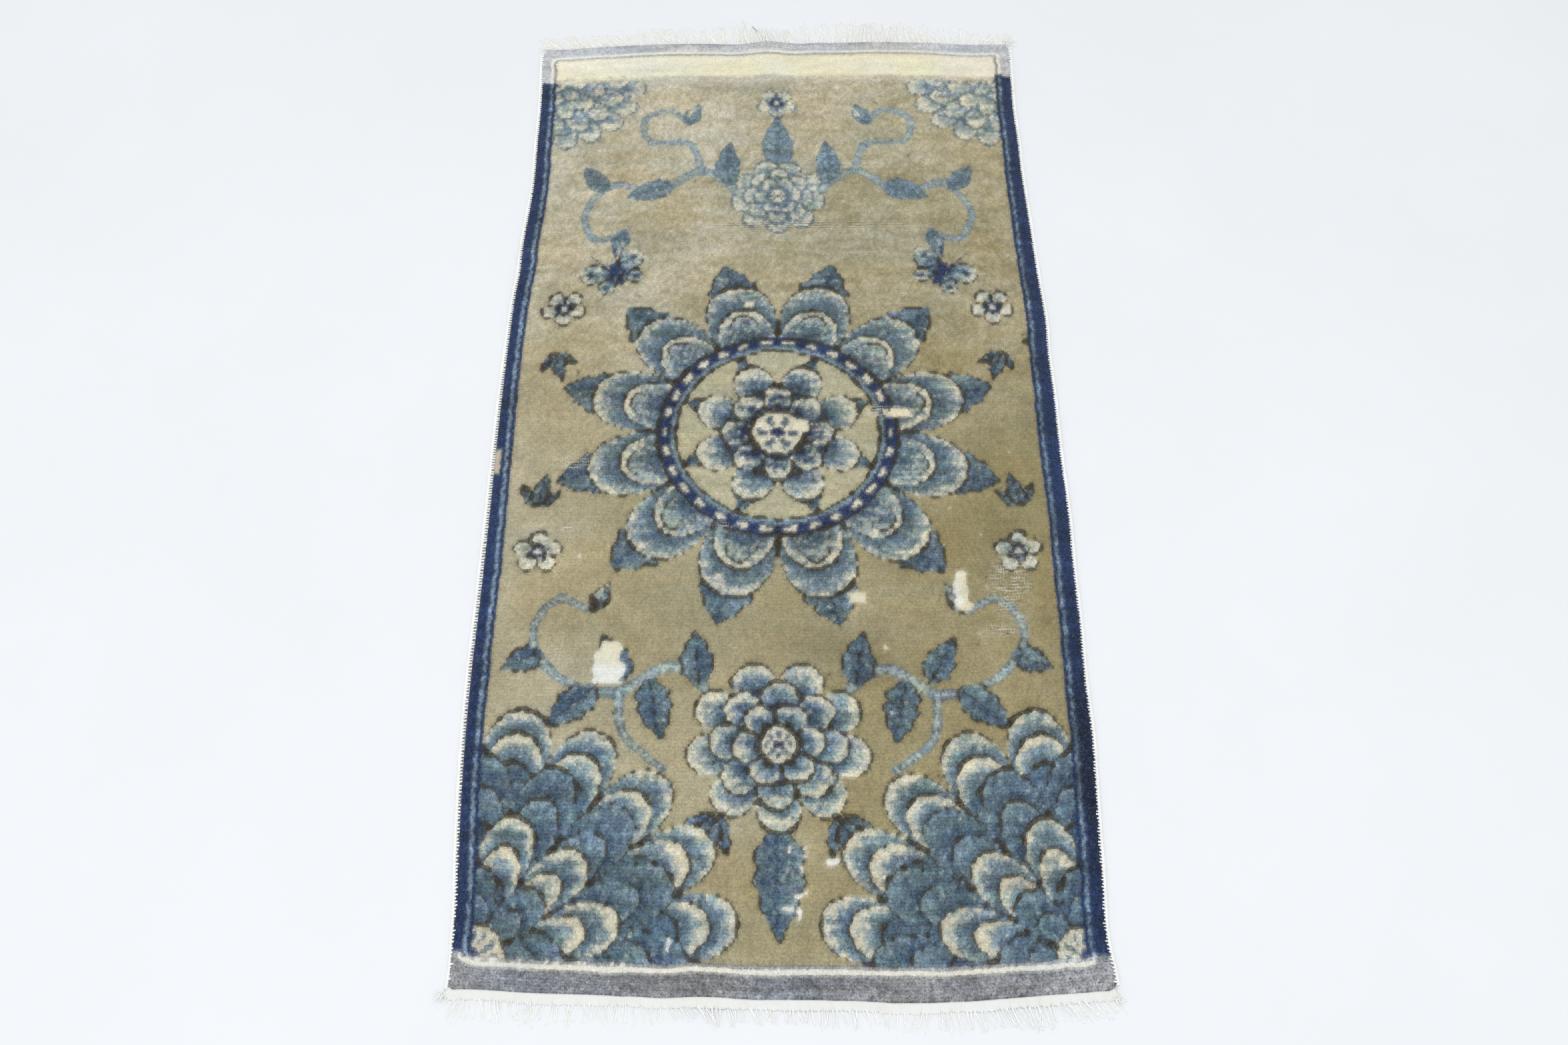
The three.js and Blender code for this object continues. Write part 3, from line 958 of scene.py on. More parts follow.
# Small stray knots: how many for each ten thousand knots, the wool they lie in, and their wool
STRAY = (
    (10, "camel", "pale_camel"),
    (4, "camel", "ivory"),
    (5, "camel", "brown"),
    (400, "mid_blue", "light_blue"),
    (300, "slate", "pale_blue"),
    (300, "deep_blue", "slate"),
    (120, "navy", "deep_blue"),
    (900, "line_blue", "navy"),
    (900, "near_gray", "dark_gray"),
    (700, "near_gray", "soft_gray"),
)


def reweave(chart):
    """Fills each repaired place, its sides stepping in and out row by row."""
    rng = np.random.default_rng(31)
    rows = chart.u.shape[0]
    for x, y, width, height, ragged, wool in REWOVEN:
        left, right = ragged * soft_noise((rows, 2), (1.6, 1), rng.integers(1000)).T[..., None] + x
        across = (chart.x > left - width / 2) & (chart.x < right + width / 2)
        chart.fill(across & (np.abs(chart.y - y) < height / 2), wool)


def scatter_strays(chart):
    draw = np.random.default_rng(32).random(chart.u.shape)
    for count, ground, wool in STRAY:
        chart.fill(chart.tied_in(ground) & (draw < count / 1e4), wool)
        draw = (draw + 0.37) % 1.0


def worn_share(x, y):
    """How far the pile is worn away, from 0 to 1, or parted, down to -1."""
    worn = np.zeros(x.shape)
    for *oval, depth in WORN:
        place = depth * np.clip(1.4 - away_from(x, y, oval), 0, 1)
        worn = np.where(np.abs(place) > np.abs(worn), place, worn)
    blotch = 0.75 + 0.5 * soft_noise(x.shape, (3, 4), 33)
    return np.clip(worn * blotch, -1, 1)


# The knots' colours

def haze_and_cloud_ground(chart, colour, grainier):
    """A painted haze lightens the ground from the right and near towards the left and far; its tone is cloudy
    too.
    """
    # Painted haze: lighter towards the left and the far end
    paler = -HAZE_ACROSS * chart.x / HALF_WIDTH
    for start, length, gain in HAZES_ALONG:
        paler = paler + gain * rising(chart.y, start, length)
    cloudy = chart.noise(*CLOUD_NOISES) + chart.noise(*STREAK_NOISES) * grainier
    tint = 1 + (paler + cloudy)[..., None] * HAZE_AND_CLOUD_TINT
    return np.where(chart.tied_in("camel")[..., None], colour * tint, colour)


def tint_wools(chart, colour):
    """Warmer and cooler places everywhere, and more of them in the yellow and blue wools."""
    warm = chart.noise(*WARM_NOISES)
    colour[..., 0] *= 1 + WARM_RED * warm
    colour[..., 2] *= 1 + WARM_BLUE * warm
    whiter = WHITER_GAIN * rising(chart.x, *WHITER_FROM)
    colour[..., 2] *= 1 + chart.tied_in("yellow") * (chart.noise(YELLOW_NOISE) + whiter)
    blue = chart.tied_in(*DEEP_RAMP[2:])
    colour[..., 1] *= 1 + blue * chart.noise(GREEN_NOISE)
    colour[..., 2] *= 1 + blue * chart.noise(BLUE_NOISE)
    bluer = BLUER_NEAR_GAIN * rising(chart.y, *BLUER_NEAR) + BLUER_FAR_GAIN * rising(chart.y, *BLUER_FAR)
    colour *= 1 + (blue * bluer)[..., None] * BLUER_TINT


def dye_knots(chart):
    """The knots' sRGB colours, with each wool's shade drifting along the rows."""
    colour = COLOURS[chart.wool]
    rng = np.random.default_rng(41)
    wefts = rng.uniform(-1, 1, (len(colour), 1))
    jitter = rng.uniform(-1, 1, chart.u.shape)
    ground = chart.tied_in("camel")
    grainier = rising(chart.y, *GRAINY_FROM)
    along_rows = chart.noise(*ROW_NOISES) + WEFT_DRIFT * wefts
    grain = jitter * (1 + ground * GROUND_GRAIN * grainier)
    tone = np.where(ground, GROUND_DRIFT, 1.0) * along_rows + chart.noise(PATCH_NOISE) + grain
    colour *= 1 + (DRIFTS[chart.wool] * tone)[..., None]
    tint_wools(chart, colour)
    colour = haze_and_cloud_ground(chart, colour, grainier)
    # Near gray band: uneven fading, with a painted ripple shade near x -80
    colour *= np.where(chart.tied_in("near_gray"), read_smooth(NEAR_GRAY_FADE_AND_SHADE, chart.u), 1.0)[..., None]
    # Stains, faded places, places lighter or darker, and painted haze at the far left
    for *oval, gain in SHADES:
        colour *= (1 + gain * np.exp(-away_from(chart.x, chart.y, oval)))[..., None]
    return colour


# Meshes

def put_in_scene(name, data):
    thing = bpy.data.objects.new(name, data)
    bpy.context.scene.collection.objects.link(thing)
    return thing


def ripple(x, y):
    """How far the rug is lifted off the floor."""
    rise = np.zeros(x.shape)
    for *oval, height in RIPPLES:
        rise += height * np.exp(-away_from(x, y, oval))
    return rise


def make_mesh(name, points, faces, *materials):
    """An object from an array of points in mm and a list of arrays of faces, one per face size."""
    points = points + ripple(points[:, 0], points[:, 1])[:, None] * UP
    mesh = bpy.data.meshes.new(name)
    mesh.vertices.add(len(points))
    mesh.vertices.foreach_set("co", ((points + SHIFT) * MM).astype(np.float32).ravel())
    loops = np.concatenate([group.ravel() for group in faces])
    sizes = np.concatenate([np.full(len(group), group.shape[1]) for group in faces])
    mesh.loops.add(len(loops))
    mesh.loops.foreach_set("vertex_index", loops.astype(np.int32))
    mesh.polygons.add(len(sizes))
    mesh.polygons.foreach_set("loop_start", (np.cumsum(sizes) - sizes).astype(np.int32))
    mesh.polygons.foreach_set("use_smooth", np.full(len(sizes), True))
    mesh.update(calc_edges=True)
    mesh.validate()
    for material in materials:
        mesh.materials.append(material)
    return put_in_scene(name, mesh)


def add_uv(piece, name, places):
    layer = piece.data.uv_layers.new(name=name)
    layer.uv.foreach_set("vector", places.astype(np.float32).ravel())


def add_colours(piece, name, corner_colours):
    """Colours in red, green and blue, and how mottled the wool is in alpha."""
    layer = piece.data.color_attributes.new(name, "FLOAT_COLOR", "CORNER")
    layer.data.foreach_set("color", corner_colours.astype(np.float32).ravel())


def add_worn(piece, worn):
    layer = piece.data.attributes.new("Worn", "FLOAT", "POINT")
    layer.data.foreach_set("value", worn.astype(np.float32))


def numbers_of(grid, start=0):
    """The numbers of a grid's points, counted row by row."""
    rows, columns = grid.shape[:2]
    return start + np.arange(rows * columns).reshape(rows, columns)


def grid_faces(index):
    """Faces of a grid of numbered points, seen from above."""
    quads = np.stack([index[:-1, :-1], index[:-1, 1:], index[1:, 1:], index[1:, :-1]], -1)
    return quads.reshape(-1, 4)


def rim_of(grid):
    """The outer row of a grid array, anticlockwise from its first corner."""
    return np.concatenate([grid[0, :], grid[1:, -1], grid[-1, -2::-1], grid[-2:0:-1, 0]])


def at_corners(face_values):
    """The average of a grid's faces at its points."""
    padded = np.pad(face_values, ((1, 1), (1, 1)) + ((0, 0),) * (face_values.ndim - 2), mode="edge")
    return (padded[:-1, :-1] + padded[1:, :-1] + padded[:-1, 1:] + padded[1:, 1:]) / 4


def ease_lines(chart, places):
    """Draws knots' corners together along the outlines and the edge of the ground, which takes the
    steps out of their curves. The outlines' own corners give way less, or they would break."""
    kinds = chart.tied_in(*EASED_GROUNDS) + 2 * chart.tied_in("brown")
    kinds = np.pad(kinds, 1, mode="edge")
    brown = kinds == 2
    around = brown[:-1, :-1] * 1 + brown[1:, :-1] + brown[:-1, 1:] + brown[1:, 1:]
    give = np.where(around == 1, EASE_CORNER_GIVE, EASE_GIVE)[..., None]
    across = (kinds[:-1, 1:-1] != kinds[1:, 1:-1])[..., None]
    along = (kinds[1:-1, :-1] != kinds[1:-1, 1:])[..., None]

    def sum_of_linked(values):
        total = np.zeros(values.shape)
        total[:, :-1] += across * values[:, 1:]
        total[:, 1:] += across * values[:, :-1]
        total[:-1] += along * values[1:]
        total[1:] += along * values[:-1]
        return total

    on_line = sum_of_linked(np.ones((*places.shape[:2], 1))) == 2
    for _ in range(2):
        places = np.where(on_line, places * (1 - give) + sum_of_linked(places) / 2 * give, places)
    return places


def pile_points(chart):
    """The pile's surface: a grid of knot corners with their heights, and how worn each is."""
    u, v = np.meshgrid(chart.u_edges, chart.v_edges)
    shape = u.shape
    inner = (np.abs(u) < HALF_WIDTH - 0.1) & (np.abs(v) < HALF_LENGTH - 0.1)
    row_shift = np.random.default_rng(50).uniform(-ROW_SHIFT, ROW_SHIFT, (shape[0], 1))
    u = u + inner * (row_shift + layered_noise(shape, SHIFT_ACROSS))
    v = v + inner * layered_noise(shape, SHIFT_ALONG)
    eased = ease_lines(chart, np.stack([u, v], -1))
    u, v = np.where(inner, eased[..., 0], u), np.where(inner, eased[..., 1], v)
    x, y = plan_of(u, v)
    worn = worn_share(x, y)
    brown, navy = [at_corners(chart.tied_in(name).astype(float)) for name in ("brown", "navy")]
    height = PILE_TOP + layered_noise(shape, PILE_ROUGHNESS)
    height += NAVY_RISE * navy - OUTLINE_DEPTH * brown - WORN_DEPTH * np.maximum(worn, 0)
    rims = (
        (HALF_WIDTH - np.abs(u), SIDE_RIM_DROP),
        (HALF_LENGTH + v, NEAR_RIM_DROP),
        (HALF_LENGTH - v, FAR_RIM_DROP),
    )
    for from_edge, drop in rims:
        height -= drop * np.clip(1 - from_edge / RIM_WIDTH, 0, 1) ** 2
    return np.stack([x, y, height], -1), worn


def outward_of(loop):
    """Level directions pointing out of an anticlockwise loop of points."""
    ahead = np.roll(loop, -1, 0) - np.roll(loop, 1, 0)
    out = np.stack([ahead[:, 1], -ahead[:, 0]], -1)
    return out / np.linalg.norm(out, axis=1, keepdims=True)


def back_points(chart):
    """The underside at half the knots' spacing, its rim drawn in a little."""
    u, v = np.meshgrid(chart.u_edges[::2], chart.v_edges[::2])
    u = np.clip(u, BACK_INSET - HALF_WIDTH, HALF_WIDTH - BACK_INSET)
    v = np.clip(v, BACK_INSET - HALF_LENGTH, HALF_LENGTH - BACK_INSET)
    x, y = plan_of(u, v)
    return np.stack([x, y, BACK_HEIGHT * (1 + soft_noise(u.shape, (1, 1), 56))], -1)


def loop_walls(upper, lower):
    """Faces between two loops of the same number of points."""
    return np.stack([upper, lower, np.roll(lower, -1), np.roll(upper, -1)], -1)


def loop_join(upper, lower):
    """Triangles between a loop and one of half its points."""
    first, middle, last = upper[::2], upper[1::2], np.roll(upper, -2)[::2]
    following = np.roll(lower, -1)
    three = ((first, lower, middle), (middle, lower, following), (middle, following, last))
    return np.concatenate([np.stack(t, -1) for t in three])


def knot_colours(chart):
    """The colour at each corner of the rug's faces in two layers: in one each knot has its own
    colour, in the other it is blended into its neighbours."""
    dyed = to_linear(dye_knots(chart)) * DAYLIGHT
    dyed = np.concatenate([dyed, (DRIFTS[chart.wool] / FULL_DRIFT)[..., None]], -1)
    weight = np.where(chart.tied_in("brown"), OUTLINE_WEIGHT, 1.0)[..., None]
    average = at_corners(dyed * weight) / at_corners(weight)
    blended = np.stack([average[:-1, :-1], average[:-1, 1:], average[1:, 1:], average[1:, :-1]], 2)
    rim = np.concatenate([dyed[0, :], dyed[:, -1], dyed[-1, ::-1], dyed[::-1, 0]])
    rest = [
        np.repeat(np.concatenate([rim, rim]), 4, axis=0),
        np.repeat(dyed[::2, ::2].reshape(-1, 4), 4, axis=0),
        np.repeat(np.concatenate([rim[::2]] * 3), 3, axis=0),
    ]
    own = np.repeat(dyed.reshape(-1, 4), 4, axis=0)
    return np.concatenate([own, *rest]), np.concatenate([blended.reshape(-1, 4), *rest])


def bake_places(points, centre, hand):
    """Places on the flat map, round a centre in its left half or, mirrored, in its right."""
    across = centre + hand * (points[:, 0] / MAP_WIDTH * 0.49)
    return np.stack([across, 0.5 + points[:, 1] / MAP_LENGTH], -1)


def add_maps(piece, top, flat, faces):
    """The flat map for textures, and the woven map that the knots' relief follows."""
    front, back = bake_places(flat, 0.25, 1), bake_places(flat, 0.75, -1)
    places = (front, front, back, front)
    add_uv(piece, "OFBake", np.concatenate([p[group.ravel()] for p, group in zip(places, faces)]))
    woven = np.stack(np.meshgrid(np.arange(top.shape[1]), np.arange(top.shape[0])), -1)
    rims = [rim_of(woven)] * len(EDGE_RINGS)
    woven = np.concatenate([woven.reshape(-1, 2), *rims, woven[::2, ::2].reshape(-1, 2)])
    add_uv(piece, "Woven", np.concatenate([woven[group.ravel()] for group in faces]))


def make_rug(chart):
    """Pile, edges and underside as one closed mesh that carries its knots' colours."""
    top, worn = pile_points(chart)
    back = back_points(chart)
    rim = rim_of(top)[:, :2]
    out = outward_of(rim)
    points = [top.reshape(-1, 3)]
    flat = [top.reshape(-1, 3)[:, :2]]
    rings = [rim_of(numbers_of(top))]
    count = worn.size
    for level, offset, map_offset in EDGE_RINGS:
        points.append(np.column_stack([rim + out * offset, np.full(len(rim), level)]))
        flat.append(rim + out * map_offset)
        rings.append(count + np.arange(len(rim)))
        count += len(rim)
    points.append(back.reshape(-1, 3))
    flat.append(back.reshape(-1, 3)[:, :2])
    back_numbers = numbers_of(back, count)
    pile = grid_faces(numbers_of(top))
    walls = np.concatenate([loop_walls(a, b) for a, b in zip(rings[:-1], rings[1:])])
    underside = grid_faces(back_numbers)[:, ::-1]
    faces = [pile, walls, underside, loop_join(rings[-1], rim_of(back_numbers))]
    points = np.concatenate(points)
    piece = make_mesh("rug", points, faces, pile_material(), back_material())

    own, blended = knot_colours(chart)
    add_colours(piece, "Knots", own)
    add_colours(piece, "Blended", blended)
    add_maps(piece, top, np.concatenate(flat), faces)
    worn_places = np.zeros(len(points))
    worn_places[:worn.size] = worn.ravel()
    add_worn(piece, worn_places)
    slots = np.zeros(sum(len(group) for group in faces), np.int32)
    first_back = len(pile) + len(walls)
    slots[first_back:first_back + len(underside)] = 1
    piece.data.polygons.foreach_set("material_index", slots)
    return piece


def tube_faces(rings, sides):
    """Walls and end caps of a tube whose rings are numbered one after the other."""
    index = np.arange(rings * sides).reshape(rings, sides)
    turned = np.roll(index, -1, 1)
    walls = np.stack([index[:-1], turned[:-1], turned[1:], index[1:]], -1).reshape(-1, 4)
    return [walls, np.stack([index[0][::-1], index[-1]])]


def turned_over(faces):
    return [group[:, ::-1] for group in faces]


def cord_tube(side, seed):
    """Cotton wrapped round the last warps: a closed ridged tube beside the pile."""
    low, high = CORD_ENDS[side]
    rings = int((high - low) / WRAP_PITCH * WRAP_RINGS)
    y = np.linspace(low, high, rings)
    turns = np.cumsum(1 + WRAP_UNEVENNESS * noise_line(rings, 14, seed)) / WRAP_RINGS
    angle = TAU * np.arange(CORD_SIDES) / CORD_SIDES
    swell = 1 + sum(share * noise_line(rings, blob, seed + more) for share, blob, more in CORD_SWELLS)
    ridge = (1 + WRAP_RIDGE * np.cos(TAU * turns[:, None] + side * angle)) * swell[:, None]
    centre = side_line(side, y) + side * (read_smooth(CORD_GAPS[side], y) + CORD_WIDTH / 2)
    x = centre[:, None] + side * (np.cos(angle) * ridge * CORD_WIDTH / 2)
    z = 0.02 + np.maximum(np.sin(angle), 0) ** 0.8 * ridge * CORD_HEIGHT
    points = np.stack([x, np.repeat(y[:, None], CORD_SIDES, 1), z], -1).reshape(-1, 3)
    faces = tube_faces(rings, CORD_SIDES)
    return points, turned_over(faces) if side > 0 else faces


def stitch_paths(side, rng):
    """Short yarns from the top of a cord in over the pile's edge."""
    low, high = CORD_ENDS[side]
    y = np.arange(low + 2, high - 2, STITCH_PITCH)
    y = y + rng.uniform(-STITCH_SCATTER, STITCH_SCATTER, len(y))
    reach = read_smooth(STITCH_REACH[side], y) * rng.uniform(*STITCH_REACHES, len(y))
    share = np.linspace(0, 1, STITCH_STEPS)[None, :]
    start = -(read_smooth(CORD_GAPS[side], y) + CORD_WIDTH / 2)[:, None]
    inward = start + (reach[:, None] - start) * share
    pile = PILE_TOP - SIDE_RIM_DROP * np.clip(1 - inward / RIM_WIDTH, 0, 1) ** 2
    over_cord = CORD_HEIGHT + STITCH_ON_CORD + (pile - CORD_HEIGHT) * share
    height = np.where(inward < 0, over_cord, pile + STITCH_ON_PILE) - STITCH_DIP * share ** 8
    along = y[:, None] + (share - 0.5) * rng.uniform(*STITCH_SLANTS, (len(y), 1))
    return np.stack([side_line(side, along) - side * inward, along, height], -1)


def make_cord(side):
    """A side cord with the stitches that hold it to the pile."""
    rng = np.random.default_rng(100 + side)
    points, faces = cord_tube(side, 60 + side)
    paths = stitch_paths(side, rng)
    radii = STITCH_RADIUS * rng.uniform(*STITCH_WIDTHS, paths.shape[:2])
    stitch_points, stitch_faces = tubes(paths, radii)
    faces = [*faces, *[group + len(points) for group in stitch_faces]]
    points = np.concatenate([points, stitch_points])
    cotton = cotton_material("Overcast cotton", CORD_TINT, 2600, sheen=0.4)
    return make_mesh("side_cord_yarn_" + SIDE_NAMES[side], points, faces, cotton)


def end_path(end, count):
    """Points along one end's rounded edge, and their directions out of the rug."""
    u = np.linspace(-HALF_WIDTH, HALF_WIDTH, count)
    x, y = plan_of(u, np.full(count, end * HALF_LENGTH))
    ahead_x, ahead_y = np.gradient(x), np.gradient(y)
    length = np.hypot(ahead_x, ahead_y)
    return x, y, -end * ahead_y / length, end * ahead_x / length


def web_heights(end, travel, gather):
    """Shares of the way out over a web's top, and the heights there: picks, warps and gathers."""
    top = np.array([0.0, 0.06, 0.16, 0.28, 0.4, 0.52, 0.64, 0.76, 0.87, 0.95, 1.0])
    crown = between(*WEB_HEIGHTS[end], top)
    fall = np.where(top < 0.5, (1 - 2 * top) ** 6, np.clip(2 * top - 1, 0, 1) ** 3)
    crown = crown * np.sqrt(np.clip(1 - fall, 0.05, 1))
    picks = 1 + PICK_RELIEF * np.cos(TAU * top * WEB_WIDTHS[end] / PICK_PITCH)
    tuck = 1 - GATHER_TUCK * (1 - gather[:, None]) * top ** 2
    warps = 1 + WARP_RELIEF * np.cos(TAU * travel[:, None] / WARP_PITCH + 3 * top)
    return top, np.maximum(crown * picks * tuck * warps, 0.25)


def make_web(end):
    """The woven cotton strip past the last knots, gathered where the warps are knotted off."""
    seed = 80 + end
    count = WEB_STATIONS
    x, y, out_x, out_y = end_path(end, count)
    travel = np.cumsum(np.hypot(np.gradient(x), np.gradient(y)))
    beat = travel / GATHER_PITCH + GATHER_UNEVENNESS * noise_line(count, 30, seed)
    gather = np.abs(np.sin(np.pi * beat)) ** 0.5
    notch = NOTCH_DEPTH + NOTCH_UNEVENNESS * noise_line(count, 60, seed + 20)
    outer = WEB_WIDTHS[end] * (1 + 0.07 * noise_line(count, 40, seed + 10)) - notch * (1 - gather)
    inner = -WEB_OVERLAPS[end] * (1 + 0.6 * noise_line(count, 26, seed + 30))
    top, height = web_heights(end, travel, gather)
    under = np.array([1.03, 0.5, 0.02])
    share = np.concatenate([top, under])
    level = np.concatenate([height, np.full((count, len(under)), 0.04)], 1)
    reach = inner[:, None] + (outer - inner)[:, None] * share
    px = x[:, None] + out_x[:, None] * reach
    py = y[:, None] + out_y[:, None] * reach
    points = np.stack([px, py, level], -1).reshape(-1, 3)
    faces = tube_faces(count, len(share))
    cotton = cotton_material("Woven cotton", WEB_TINT, 1500)
    return make_mesh("end_web_" + END_NAMES[end], points, turned_over(faces) if end > 0 else faces, cotton)


def directions(paths):
    """The directions ahead along many paths, and level across them."""
    ahead = np.gradient(paths, axis=1)
    ahead /= np.linalg.norm(ahead, axis=2, keepdims=True)
    across = np.cross(ahead, UP)
    across /= np.linalg.norm(across, axis=2, keepdims=True)
    return ahead, across


def tubes(paths, radii, flatness=1.0):
    """Closed tubes along many level paths at once: paths is (tubes, steps, 3), radii (tubes, steps)."""
    ahead, across = directions(paths)
    lift = np.cross(across, ahead) * flatness
    angle = TAU * np.arange(PLY_SIDES) / PLY_SIDES
    ring = np.cos(angle)[:, None] * across[:, :, None] + np.sin(angle)[:, None] * lift[:, :, None]
    points = paths[:, :, None] + radii[:, :, None, None] * ring
    index = np.arange(radii.size * PLY_SIDES).reshape(*radii.shape, PLY_SIDES)
    turned = np.roll(index, -1, 2)
    walls = np.stack([index[:, :-1], index[:, 1:], turned[:, 1:], turned[:, :-1]], -1).reshape(-1, 4)
    caps = np.concatenate([index[:, 0], index[:, -1, ::-1]])
    return points.reshape(-1, 3), [walls, caps]


def twist(paths, radius, pitch, phase):
    """Two plies wound round each path."""
    step = np.linalg.norm(np.diff(paths, axis=1, prepend=paths[:, :1]), axis=2)
    travel = np.cumsum(step, axis=1)
    _, across = directions(paths)
    wound = []
    for ply in (0, 1):
        turn = TAU * (travel / pitch + ply / 2) + phase[:, None]
        offset = np.cos(turn)[..., None] * across + np.sin(turn)[..., None] * UP * FLATNESS
        wound.append(paths + radius * offset)
    return np.concatenate(wound)


def first_of_locks(count, lock):
    """For each strand the first one of its lock."""
    return np.arange(count) // lock * lock


def lay_strands(x, y, lean, length, end, rng, lock=1):
    """Centrelines of yarns that leave their places at a lean, curl and lie down on the floor.
    The strands of a lock curl alike."""
    count = len(x)
    first = first_of_locks(count, lock)
    t = np.linspace(0, 1, STRAND_STEPS)[None, :]
    curl = rng.normal(0, STRAND_CURL, (count, 1))[first]
    wave = rng.normal(0, STRAND_WAVE, (count, 1)) * np.sin(TAU * (t * 1.3 + rng.random((count, 1))))
    heading = (lean[:, None] + curl * (t - 0.4) + wave[first]) * DEG
    step = (length / (STRAND_STEPS - 1))[:, None]
    run_x = np.cumsum(np.sin(heading) * step, 1) - np.sin(heading[:, :1]) * step
    run_y = np.cumsum(np.cos(heading) * step, 1) - np.cos(heading[:, :1]) * step
    arch = rng.uniform(0, STRAND_ARCH, (count, 1)) * np.sin(np.pi * t) ** 2
    lying = 2 * FLATNESS * PLY_RADIUS
    height = lying + (ROOT_HEIGHT - lying) * np.exp(-(4 * t) ** 2) + arch
    return np.stack([x[:, None] + run_x, y[:, None] + end * run_y, height], -1)


def tuft_paths(end, rng):
    """Tangles of loose ends at the corners."""
    paths = []
    for x, y, spread, lean, length, count in TUFTS[end]:
        places = rng.normal(0, spread / 2, (2, count))
        leans = lean + rng.normal(0, 45, count)
        lengths = length * rng.uniform(0.5, 1.1, count)
        tangle = lay_strands(x + places[0], y + places[1], leans, lengths, end, rng)
        tangle[..., 2] += rng.uniform(0, 2.5, (count, 1))
        paths.append(tangle)
    return np.concatenate(paths)


def strand_paths(end, rng):
    """The warp ends' centrelines, loosely gathered where they are knotted off at the web."""
    rows = FRINGES[end]
    count = STRANDS[end]
    even_x = np.linspace(rows[0][0], rows[-1][0], count)
    first = first_of_locks(count, LOCK_STRANDS)
    lock_x = even_x[first] + (LOCK_STRANDS - 1) / 2 * (even_x[1] - even_x[0])
    scatter = [rng.normal(0, spread, count) for spread in ROOT_SCATTERS]
    root_x = lock_x + scatter[0][first] + scatter[1]
    root_y = end_line(end, root_x) + end * (WEB_WIDTHS[end] - rng.uniform(*ROOT_DEPTHS, count))
    scatter = [rng.normal(0, spread, count) for spread in LEAN_SCATTERS]
    lean = read_smooth(rows, root_x, 1) + scatter[0][first] + scatter[1]
    lean = lean + LEAN_SWAY * noise_line(count, 14, 97)
    length = read_smooth(rows, root_x, 2) * rng.uniform(0.75, 1.12, count)[first]
    length = length * rng.uniform(0.8, 1.05, count) + 3
    return lay_strands(root_x, root_y, lean, length, end, rng, LOCK_STRANDS)


def make_fringe(end):
    """Two-ply cotton warp ends lying on the floor."""
    rng = np.random.default_rng(90 + end)
    paths = np.concatenate([strand_paths(end, rng), tuft_paths(end, rng)])
    phase = rng.uniform(0, TAU, len(paths))
    plies = twist(paths, PLY_RADIUS * 0.9, PLY_TWIST, phase)
    t = np.linspace(0, 1, STRAND_STEPS)
    radii = PLY_RADIUS * (1 - 0.35 * t ** 3) * rng.uniform(0.85, 1.15, (len(plies), 1))
    points, faces = tubes(plies, radii, FLATNESS)
    cotton = cotton_material("Warp cotton", STRAND_TINTS[end], 1800, STRAND_SHEEN[end])
    return make_mesh("end_fringe_strands_" + END_NAMES[end], points, faces, cotton)


def make_stray_end():
    """A short end of gray-blue wool on the far fringe."""
    line = smooth_line(STRAY_END, 4)
    path = np.column_stack([line, np.full(len(line), STRAY_HEIGHT)])
    plies = twist(path[None], STRAY_PLY_OFFSET, STRAY_TWIST, np.zeros(1))
    points, faces = tubes(plies, np.full(plies.shape[:2], STRAY_PLY_RADIUS))
    return make_mesh("stray_wool_end", points, faces, yarn_material())


# Materials

class Output:
    """An output of a shader node. Sums, differences and products of outputs add further nodes."""

    def __init__(self, tree, socket):
        self.tree = tree
        self.socket = socket

    def other(self, name):
        """Another output of the same node."""
        return Output(self.tree, self.socket.node.outputs[name])

    def math(self, operation, other=0.0):
        return add_node(self.tree, "Math", {0: self, 1: other}, operation=operation)

    def __add__(self, other):
        return self.math("ADD", other)

    def __sub__(self, other):
        return self.math("SUBTRACT", other)

    def __mul__(self, other):
        return self.math("MULTIPLY", other)

    def remap(self, from_low, from_high, to_low, to_high):
        ends = {"From Min": from_low, "From Max": from_high, "To Min": to_low, "To Max": to_high}
        return add_node(self.tree, "MapRange", {"Value": self, **ends})

    def stretched(self, *scale):
        """Coordinates scaled along each axis."""
        return add_node(self.tree, "Mapping", {"Vector": self, "Scale": scale})

    def lines(self, width):
        """1 along each whole number and 0 between."""
        from_line = (self.math("FRACT") - 0.5).math("ABSOLUTE")
        return from_line.remap(0.5 - width, 0.5 - width / 3, 0.0, 1.0)


def add_node(tree, kind, inputs, output=0, **settings):
    """Adds a node, with constants or outputs of other nodes as its inputs, and gives back one output."""
    node = tree.nodes.new("ShaderNode" + kind)
    for key, value in settings.items():
        setattr(node, key, value)
    for key, value in inputs.items():
        if isinstance(value, Output):
            tree.links.new(value.socket, node.inputs[key])
        else:
            node.inputs[key].default_value = value
    return Output(tree, node.outputs[output])


def read_layer(tree, name):
    return add_node(tree, "Attribute", {}, attribute_name=name)


def own_places(tree):
    """The object's own coordinates."""
    return add_node(tree, "TexCoord", {}, "Object")


def woven_places(tree):
    """Coordinates in columns and rows of knots, together and as two numbers."""
    woven = add_node(tree, "UVMap", {}, uv_map="Woven")
    column = add_node(tree, "SeparateXYZ", {"Vector": woven})
    return woven, column, column.other("Y")


def add_noise(places, scale, detail=2.0, roughness=0.6):
    inputs = {"Vector": places, "Scale": scale, "Detail": detail, "Roughness": roughness}
    return add_node(places.tree, "TexNoise", inputs)


def mix(share, first, second):
    return add_node(share.tree, "Mix", {0: share, 6: first, 7: second}, 2, data_type="RGBA")


def scaled(colour, factor):
    return add_node(factor.tree, "VectorMath", {0: colour, "Scale": factor}, operation="SCALE")


def new_material(name, roughness, sheen):
    material = bpy.data.materials.new(name)
    material.use_nodes = True
    inputs = material.node_tree.nodes["Principled BSDF"].inputs
    inputs["Roughness"].default_value = roughness
    inputs["Specular IOR Level"].default_value = 0.2
    inputs["Sheen Weight"].default_value = sheen
    inputs["Sheen Roughness"].default_value = 0.5
    return material, material.node_tree


